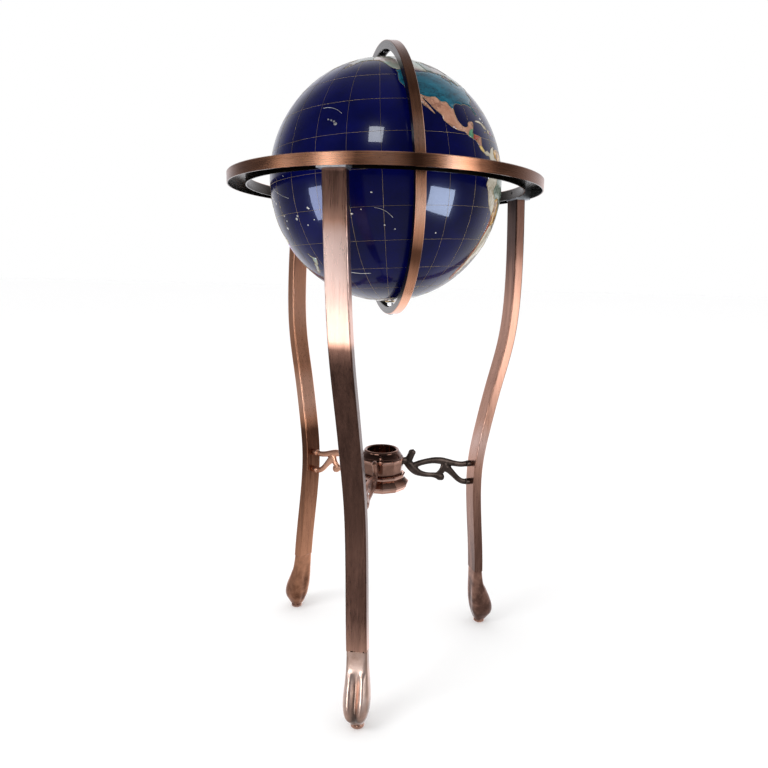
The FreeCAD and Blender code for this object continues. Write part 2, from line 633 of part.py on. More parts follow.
# ---------------------------------------------------------------- meridian ring
def make_meridian():
    """Channel ring, open towards the globe, with the pole pins and their nuts."""
    edge, lower = "meridian_radius", "meridian_radius - meridian_depth"
    half, inside = "0.5*meridian_width", "0.5*meridian_width - meridian_wall"
    ring = turned("meridian_channel", (
        (lower, "- " + half), (edge + " - 0.6", "- " + half), (edge, "0.6 - " + half),
        (edge, half + " - 0.6"), (edge + " - 0.6", half), (lower, half),
        (lower, inside), (edge + " - meridian_wall", inside),
        (edge + " - meridian_wall", "meridian_wall - " + half), (lower, "meridian_wall - " + half)),
        plane="XY_Plane")
    holes = [cylinder("bush_hole_%d" % turn, "4.2", "8", round_stand(turn).multiply(
        outwards(measure("meridian_radius - 5"), 0))) for turn in (0, 180)]
    holes += [cylinder("pin_hole_%d" % flip, "pivot_radius + 0.05", "8",
                       Placement(Vector(), Rotation(X_AXIS, flip)).multiply(
                           at(0, 0, measure("meridian_radius - 5")))) for flip in (0, 180)]
    node("meridian_ring", cut("meridian_drilled", ring, *holes), pole_frame)

    nuts, washers = [], []
    for name, flip in (("north", 0), ("south", 180)):
        upright = pole_frame.multiply(Placement(Vector(), Rotation(X_AXIS, flip)))
        pin = turned("pin_blank_" + name, (
            ("0", "globe_radius - 12"), ("pivot_radius", "globe_radius - 12"),
            ("pivot_radius", "meridian_radius + 0.1"), ("4.6", "meridian_radius + 0.1"),
            ("4.0", "meridian_radius + 1.3"), ("0", "meridian_radius + 1.7")))
        node("pole_pin_" + name, pin, upright)
        for place, low in (("inner", "globe_radius + 3.0"), ("outer", "meridian_radius - meridian_wall - 4.2")):
            hexagon = prism("pole_hexagon_%s_%s" % (name, place), 6, "4.6", "4")
            hole = cylinder("pole_nut_hole_%s_%s" % (name, place), "pivot_radius + 0.05", "4")
            nut = cut("pole_nut_%s_%s" % (name, place), hexagon, hole)
            nut.Placement = upright.multiply(at(0, 0, measure(low)))
            nuts.append(nut)
        disc = cylinder("pole_disc_" + name, "6.5", "0.9")
        disc_hole = cylinder("pole_disc_hole_" + name, "pivot_radius + 0.3", "0.9")
        washer = cut("pole_washer_" + name, disc, disc_hole)
        washer.Placement = upright.multiply(at(0, 0, measure("globe_radius + 1.5")))
        washers.append(washer)
    node("pole_nuts", group("pole_nut_set", *nuts))
    node("pole_washers", group("pole_washer_pair", *washers))


# ---------------------------------------------------------------- globe
def half_ball(name, outer, inner, flip):
    """Half of a hollow ball with a hole at its pole for the bush."""
    ball = bind(doc.addObject("Part::Sphere", name + "_outside"), Radius=outer)
    ball.Angle1 = 0
    hollow = bind(doc.addObject("Part::Sphere", name + "_inside"), Radius=inner)
    hole = cylinder(name + "_pole_hole", "6.1", "globe_radius + 10")
    item = cut(name + "_shell", ball, hollow, hole)
    item.Placement = Placement(Vector(), Rotation(X_AXIS, flip))
    return item


def make_globe():
    core_outside = "globe_radius - stone_thickness - glue_gap"
    for name, flip in (("north", 0), ("south", 180)):
        node("stone_skin_" + name, half_ball("skin_" + name, "globe_radius",
                                             "globe_radius - stone_thickness", flip), pole_frame)
        node("core_" + name, half_ball("core_" + name, core_outside, core_outside + " - core_wall",
                                       flip), pole_frame)
        bush = turned("pole_bush_blank_" + name, (
            ("pivot_radius + running_gap", "globe_radius - 13"), ("6", "globe_radius - 13"),
            ("6", "globe_radius + 0.1"), ("8", "globe_radius + 0.1"), ("7.4", "globe_radius + 1.1"),
            ("pivot_radius + running_gap", "globe_radius + 1.1")))
        node("pole_bush_" + name, bush,
             pole_frame.multiply(Placement(Vector(), Rotation(X_AXIS, flip))))
    band = turned("band_blank", (
        (core_outside + " - core_wall - 3.2", "- 10"), (core_outside + " - core_wall - 0.5", "- 10"),
        (core_outside + " - core_wall - 0.2", "0"), (core_outside + " - core_wall - 0.5", "10"),
        (core_outside + " - core_wall - 3.2", "10")))
    node("equator_band", band, pole_frame)


# ---------------------------------------------------------------- build and write
make_horizon_ring()
make_leg_fixings()
for leg_name, leg_azimuth in LEGS:
    make_leg(leg_name, leg_azimuth)
    make_foot(leg_name, leg_azimuth)
    make_arm(leg_name, leg_azimuth)
make_arm_screws()
make_compass_cup()
make_skirt()
make_hub_fixings()
make_ring_pivots()
make_meridian()
make_globe()
doc.recompute()

for item in doc.Objects:
    if "Invalid" in item.State or "Error" in item.State:
        raise RuntimeError("%s failed to build" % item.Label)
for item in NODES:
    if item.Shape.isNull() or not item.Shape.isValid() or not item.Shape.Solids:
        raise RuntimeError("%s has no valid solid" % item.Label)
for item in NODES:
    item.Shape.exportStep("parts/%s.step" % item.Label)
    box = item.Shape.BoundBox
    print("%-18s solids %d volume %9.0f  z %.1f to %.1f" % (
        item.Label, len(item.Shape.Solids), item.Shape.Volume, box.ZMin, box.ZMax))
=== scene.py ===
"""Looks of the floor-standing gemstone globe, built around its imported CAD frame.

The script gives the CAD pieces their finishes and adds what CAD leaves plain or out: the inlaid
stone map with its brass wires, the cast hoof feet, the cast vine arms and the weld beads. Lengths
are metres.
"""

import json
import math

import bmesh
import bpy
from mathutils import Matrix, Vector, noise
from mathutils.geometry import delaunay_2d_cdt

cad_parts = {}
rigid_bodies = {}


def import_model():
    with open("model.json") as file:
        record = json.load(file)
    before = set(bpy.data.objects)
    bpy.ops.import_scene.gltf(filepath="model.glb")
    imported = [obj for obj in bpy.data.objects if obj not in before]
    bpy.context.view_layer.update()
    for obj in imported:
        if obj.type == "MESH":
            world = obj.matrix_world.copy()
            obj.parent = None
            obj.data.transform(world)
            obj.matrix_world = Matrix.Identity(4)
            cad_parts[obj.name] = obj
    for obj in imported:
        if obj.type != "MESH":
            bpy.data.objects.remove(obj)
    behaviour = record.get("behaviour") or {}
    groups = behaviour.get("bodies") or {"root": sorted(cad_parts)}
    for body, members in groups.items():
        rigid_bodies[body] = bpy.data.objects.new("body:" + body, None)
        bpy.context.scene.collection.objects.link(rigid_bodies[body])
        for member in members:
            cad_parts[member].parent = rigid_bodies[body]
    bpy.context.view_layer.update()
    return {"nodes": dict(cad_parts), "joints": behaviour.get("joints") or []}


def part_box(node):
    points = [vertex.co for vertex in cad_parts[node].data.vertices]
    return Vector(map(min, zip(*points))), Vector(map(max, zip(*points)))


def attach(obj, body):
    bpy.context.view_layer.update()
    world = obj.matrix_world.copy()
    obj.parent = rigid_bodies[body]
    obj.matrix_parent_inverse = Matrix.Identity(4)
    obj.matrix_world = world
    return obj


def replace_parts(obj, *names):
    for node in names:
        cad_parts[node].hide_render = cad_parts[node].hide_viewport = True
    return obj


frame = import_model()

MM = 0.001
# Each leg's name and azimuth in degrees. A leg leans sideways about a point at LEAN_HEIGHT.
LEGS = (("front", -90.0), ("right", 30.0), ("left", 150.0))
LEG_LEAN = math.radians(2.34)
LEAN_HEIGHT = 290 * MM

JOINTS = {joint["name"]: joint for joint in frame["joints"]}
GLOBE_CENTRE = Vector(JOINTS["globe_spin"]["pos_m"])
POLE = Vector(JOINTS["globe_spin"]["axis"]).normalized()
TILT_AXIS = Vector(JOINTS["ring_tilt"]["axis"]).normalized()
GLOBE_RADIUS = (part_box("stone_skin_south")[1].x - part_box("stone_skin_north")[0].x) / 2
FIRST_MERIDIAN = 120.5            # degrees east of the tilt axis at which the map's zero lies


def axes(x, y, z):
    """A rotation whose columns are these three directions."""
    return Matrix((x, y, z)).transposed()


POLE_AXES = axes(TILT_AXIS, POLE.cross(TILT_AXIS), POLE)


def leg_place(azimuth):
    """The frame in which a leg's outer face looks along X and its length along Z."""
    up = Matrix.Translation((0, 0, LEAN_HEIGHT))
    lean = up @ Matrix.Rotation(LEG_LEAN, 4, "X") @ up.inverted()
    return Matrix.Rotation(math.radians(azimuth), 4, "Z") @ lean


# ---------------------------------------------------------------- shader helpers
class Nodes:
    """A node tree under construction: short calls that add a node and return its output."""

    def __init__(self, tree):
        self.tree = tree

    def add(self, kind, inputs, output=0, **settings):
        """A node of this kind; inputs are links or constants, settings its own properties."""
        node = self.tree.nodes.new("ShaderNode" + kind)
        for key, value in settings.items():
            setattr(node, key, value)
        for key, value in inputs.items():
            socket = node.inputs[key]
            if isinstance(value, bpy.types.NodeSocket):
                self.tree.links.new(value, socket)
            else:
                socket.default_value = value
        return node.outputs[output]

    def split(self, vector):
        """The X, Y and Z of a vector."""
        return tuple(self.add("SeparateXYZ", {0: vector}).node.outputs)

    def ramp(self, value, stops):
        """A colour ramp; stops are (position, grey or colour)."""
        node = self.tree.nodes.new("ShaderNodeValToRGB")
        self.tree.links.new(value, node.inputs[0])
        elements = node.color_ramp.elements
        while len(elements) < len(stops):
            elements.new(1.0)
        for element, (position, colour) in zip(elements, stops):
            element.position = position
            grey = isinstance(colour, (int, float))
            element.color = (colour, colour, colour, 1) if grey else (*colour, 1)
        return node.outputs[0]

    def mix(self, factor, first, second, blend="MIX"):
        """Two colours mixed; each may be a link or a constant."""
        node = self.tree.nodes.new("ShaderNodeMix")
        node.data_type, node.blend_type = "RGBA", blend
        for socket, value in ((0, factor), (6, first), (7, second)):
            if isinstance(value, bpy.types.NodeSocket):
                self.tree.links.new(value, node.inputs[socket])
            elif socket == 0:
                node.inputs[0].default_value = value
            else:
                node.inputs[socket].default_value = (*value, 1)
        return node.outputs[2]

    def maths(self, operation, first, second=0.0, clamp=False):
        """Two numbers combined; each may be a link or a constant."""
        return self.add("Math", {0: first, 1: second}, operation=operation, use_clamp=clamp)

    def spread(self, value, low, high, start=0.0, end=1.0):
        """The value's way from low to high, as a number from start to end."""
        return self.add("MapRange", {"Value": value, "From Min": low, "From Max": high,
                                     "To Min": start, "To Max": end}, "Result")


class Shader(Nodes):
    """A material under construction on a Principled surface."""

    def __init__(self, name, **principled):
        self.material = bpy.data.materials.new(name)
        self.material.use_nodes = True
        super().__init__(self.material.node_tree)
        self.surface = self.tree.nodes["Principled BSDF"]
        for socket, value in principled.items():
            self.surface.inputs[socket.replace("_", " ")].default_value = value

    def place(self, scale=(1, 1, 1), origin=(0, 0, 0), turn=(0, 0, 0)):
        """Object coordinates seen from a frame at origin, turned by turn, then stretched."""
        point = self.add("TexCoord", {}, "Object")
        local = self.add("Mapping", {"Vector": point, "Location": origin, "Rotation": turn},
                         vector_type="TEXTURE")
        return self.add("Mapping", {"Vector": local, "Scale": scale})

    def noise(self, where, scale, detail=4.0, rough=0.55):
        """Clouded noise from 0 to 1."""
        return self.add("TexNoise", {"Vector": where, "Scale": scale, "Detail": detail,
                                     "Roughness": rough}, "Fac")

    def set(self, socket, value):
        """Links a value to the surface."""
        self.tree.links.new(value, self.surface.inputs[socket])

    def bump(self, height, strength, distance):
        """Relief in the surface's shading; distance is the depth that height 1 stands for."""
        self.set("Normal", self.add("Bump", {"Height": height, "Strength": strength,
                                             "Distance": distance}, "Normal"))


def ring_coordinates(shader, origin, turn):
    """(radius, height, turn) round a ring's axis, as three outputs."""
    x, y, height = shader.split(shader.place(origin=origin, turn=turn))
    radius = shader.add("VectorMath", {0: shader.add("CombineXYZ", {"X": x, "Y": y})}, "Value",
                        operation="LENGTH")
    return radius, height, shader.maths("ARCTAN2", y, x)


# ---------------------------------------------------------------- metals
# Each metal from its darkest patina to its polished colour, and the tones at which it shows them.
ROSE_COPPER = ((0.022, 0.012, 0.010), (0.150, 0.078, 0.058), (0.60, 0.33, 0.24),
               (0.86, 0.62, 0.55))
ORANGE_COPPER = ((0.020, 0.010, 0.007), (0.160, 0.068, 0.038), (0.66, 0.31, 0.18),
                 (0.92, 0.53, 0.37))
PALE_COPPER = ((0.026, 0.018, 0.015), (0.160, 0.112, 0.092), (0.56, 0.36, 0.28),
               (0.90, 0.69, 0.60))
GREY_BRONZE = ((0.018, 0.014, 0.012), (0.110, 0.082, 0.070), (0.40, 0.31, 0.27),
               (0.82, 0.68, 0.60))
METAL_TONES = (0.0, 0.28, 0.62, 1.0)
# The inside of a ring's channel: unplated metal, made darker as painted shade.
UNPLATED_AND_SHADED_INSIDE = (0.034, 0.026, 0.020)
SPOTS = ((0.66, 0.0), (0.78, 0.12))


def copper(name, streaks, tone, metal=ROSE_COPPER, roughness=0.27, clouds=0.55, raw_and_shaded=None,
           grain=0.22):
    """Antique copper: tone 0 is brown patina and 1 is polished; streaks is the brush pattern.

    clouds and grain say how far the broad and the fine pattern shift the tone, which may itself
    carry painted light and shade. The inside mask marks, from 0 to 1, where the sheet's unplated
    inner side shows, darkened partly as painted shade.
    """
    shader = Shader(name, Metallic=1.0)
    fine, broad, wander = streaks(shader)
    level = tone(shader)
    for pattern, strength in ((broad, clouds), (fine, grain)):
        shift = shader.maths("MULTIPLY", shader.maths("SUBTRACT", pattern, 0.5), strength)
        level = shader.maths("ADD", level, shift, clamp=True)
    colour = shader.ramp(level, tuple(zip(METAL_TONES, metal)))
    colour = shader.mix(shader.ramp(wander, SPOTS), colour, metal[0])
    # The unplated inside, its dark colour partly painted shade.
    if raw_and_shaded:
        colour = shader.mix(raw_and_shaded(shader), colour, UNPLATED_AND_SHADED_INSIDE)
    shader.set("Base Color", colour)
    shader.set("Roughness", shader.spread(fine, 0.0, 1.0, roughness - 0.07, roughness + 0.12))
    shader.bump(fine, 0.22, 0.12 * MM)
    return shader.material


def lengthwise(shader):
    """Brush marks along Z."""
    fine = shader.noise(shader.place(scale=(900, 900, 9)), 1.0, detail=6.0, rough=0.62)
    broad = shader.noise(shader.place(scale=(120, 120, 5)), 1.0, detail=3.0)
    wander = shader.noise(shader.place(scale=(1, 1, 0.35)), 55.0, detail=5.0)
    return fine, broad, wander


def round_ring(origin, turn):
    """Brush marks along a ring's rim."""
    def marks(shader):
        radius, height, angle = ring_coordinates(shader, origin, turn)

        def pattern(across, along, detail):
            where = shader.add("CombineXYZ", {
                "X": shader.maths("MULTIPLY", radius, across),
                "Y": shader.maths("MULTIPLY", height, across),
                "Z": shader.maths("MULTIPLY", angle, along)})
            return shader.noise(where, 1.0, detail=detail, rough=0.6)

        fine = pattern(1000.0, 5.0, 6.0)
        broad = pattern(60.0, 2.6, 2.0)
        wander = pattern(130.0, 26.0, 4.0)
        return fine, broad, wander

    return marks


def even_grain(shader):
    """A cast surface with no brush direction."""
    fine = shader.noise(shader.place(), 1400.0, detail=5.0)
    broad = shader.noise(shader.place(), 70.0, detail=4.0)
    wander = shader.noise(shader.place(), 160.0, detail=6.0)
    return fine, broad, wander


def flat_tone(value):
    """The same tone all over."""
    return lambda shader: shader.maths("ADD", value, 0.0)


def height_tone(stops):
    """Tone by height above the floor; stops are (height, tone)."""
    low, high = stops[0][0], stops[-1][0]

    def tone(shader):
        share = shader.spread(shader.split(shader.place())[2], low, high)
        return shader.ramp(share, [((z - low) / (high - low), grey) for z, grey in stops])

    return tone


def angle_tone(home, stops):
    """Tone by the turn round a ring's axis; stops are (degrees from -180 to 180, tone)."""
    def tone(shader):
        share = shader.spread(ring_coordinates(shader, *home)[2], -math.pi, math.pi)
        return shader.ramp(share, [((turn + 180) / 360, grey) for turn, grey in stops])

    return tone


def inner_side(home, split, top=1.0):
    """A mask that is 1 where a ring lies nearer to its axis than split, and below top."""
    def mask(shader):
        radius, height, _ = ring_coordinates(shader, *home)
        near = shader.spread(radius, split - 0.2 * MM, split + 0.2 * MM, 1.0, 0.0)
        return shader.maths("MULTIPLY", near, shader.maths("LESS_THAN", height, top))

    return mask


def plain_metal(name, colour, roughness):
    """Small bright fixings: slight tarnish and turned marks."""
    shader = Shader(name, Metallic=1.0)
    cloud = shader.noise(shader.place(), 240.0, detail=5.0)
    tarnish = shader.ramp(cloud, ((0.45, 0.0), (0.75, 0.8)))
    dull = tuple(channel * 0.55 for channel in colour)
    shader.set("Base Color", shader.mix(tarnish, colour, dull))
    marks = shader.noise(shader.place(), 1500.0, detail=3.0)
    shader.set("Roughness", shader.spread(marks, 0.0, 1.0, roughness, roughness + 0.18))
    shader.bump(marks, 0.12, 0.05 * MM)
    return shader.material


def plain_plastic(name, colour, roughness):
    """Moulded plastic or resin, faintly clouded."""
    shader = Shader(name)
    cloud = shader.noise(shader.place(), 90.0)
    darker = tuple(channel * 0.82 for channel in colour)
    shader.set("Base Color", shader.mix(cloud, colour, darker))
    shader.set("Roughness", shader.spread(cloud, 0.0, 1.0, roughness, roughness + 0.15))
    shader.bump(shader.noise(shader.place(), 1800.0), 0.15, 0.1 * MM)
    return shader.material


# ---------------------------------------------------------------- stones
def finish_stone(shader, colour, relief):
    """Polished stone under a clear coat."""
    shader.set("Base Color", colour)
    for socket, value in (("Roughness", 0.22), ("Specular IOR Level", 0.05), ("Coat Weight", 0.28),
                          ("Coat Roughness", 0.03), ("Coat IOR", 1.5)):
        shader.surface.inputs[socket].default_value = value
    shader.bump(relief, 0.05, 0.08 * MM)
    return shader.material


def stone(name, base, second, vein=None, scale=60.0, vein_scale=45.0, layers=1.0):
    """A clouded stone of two colours with optional thin veins; layers above 1 flattens both."""
    shader = Shader(name)
    where = shader.place(scale=(1, 1, layers))
    cloud = shader.noise(where, scale, detail=7.0, rough=0.6)
    colour = shader.ramp(cloud, ((0.34, base), (0.66, second)))
    grain = shader.noise(shader.place(), scale * 9, detail=4.0)
    colour = shader.mix(0.30, colour, shader.ramp(grain, ((0.35, 0.45), (0.65, 1.0))), "MULTIPLY")
    if vein:
        ridge = shader.noise(where, vein_scale, detail=6.0, rough=0.62)
        crack = shader.maths("ABSOLUTE", shader.maths("SUBTRACT", ridge, 0.5))
        colour = shader.mix(shader.ramp(crack, ((0.003, 0.80), (0.022, 0.0))), colour, vein)
    return finish_stone(shader, colour, cloud)


def banded_stone(name, base, second, bands):
    """A stone with wavy bands, such as tiger eye or banded travertine."""
    shader = Shader(name)
    wave = shader.add("TexWave", {"Vector": shader.place(), "Scale": bands, "Distortion": 7.0,
                                  "Detail": 4.0, "Detail Scale": 1.6}, "Fac")
    colour = shader.ramp(wave, ((0.15, base), (0.85, second)))
    return finish_stone(shader, colour, wave)


def pearl(name, base, green, pink):
    """Mother of pearl: pale flakes whose hue drifts from plate to plate."""
    shader = Shader(name, Metallic=0.25)
    plates = shader.add("TexVoronoi", {"Vector": shader.place(scale=(1, 1, 2.2)), "Scale": 70.0},
                        "Color", feature="F1")
    drift = shader.noise(shader.place(), 45.0, detail=6.0)
    hue = shader.ramp(drift, ((0.36, green), (0.50, base), (0.64, pink)))
    shade = shader.ramp(shader.add("SeparateColor", {0: plates}), ((0.0, 0.55), (1.0, 1.0)))
    return finish_stone(shader, shader.mix(0.35, hue, shade, "MULTIPLY"), drift)


def lapis():
    """The deep blue sea: near-even blue with faint clouds and very few gold specks."""
    shader = Shader("lapis_sea")
    cloud = shader.noise(shader.place(), 16.0, detail=8.0, rough=0.65)
    deep, bright, gold_colour = (0.0006, 0.0012, 0.028), (0.0011, 0.0021, 0.058), (0.35, 0.26, 0.10)
    colour = shader.ramp(cloud, ((0.35, deep), (0.65, bright)))
    specks = shader.add("TexVoronoi", {"Vector": shader.place(), "Scale": 210.0}, "Distance",
                        feature="F1")
    gate = shader.noise(shader.place(), 35.0)
    gold = shader.maths("MULTIPLY", shader.maths("LESS_THAN", specks, 0.035),
                        shader.maths("GREATER_THAN", gate, 0.66))
    return finish_stone(shader, shader.mix(gold, colour, gold_colour), cloud)


# ---------------------------------------------------------------- the map
# Coasts as closed loops of (longitude, latitude) in degrees. Longitudes run from the map's
# seam at the Bering Strait, -169, to 191, so eastern Siberia lies past 180. The map stops at
# MAP_TOP, where the pole bushes are.
SEAM_WEST, SEAM_EAST = -169.0, 191.0
MAP_TOP = 87.4

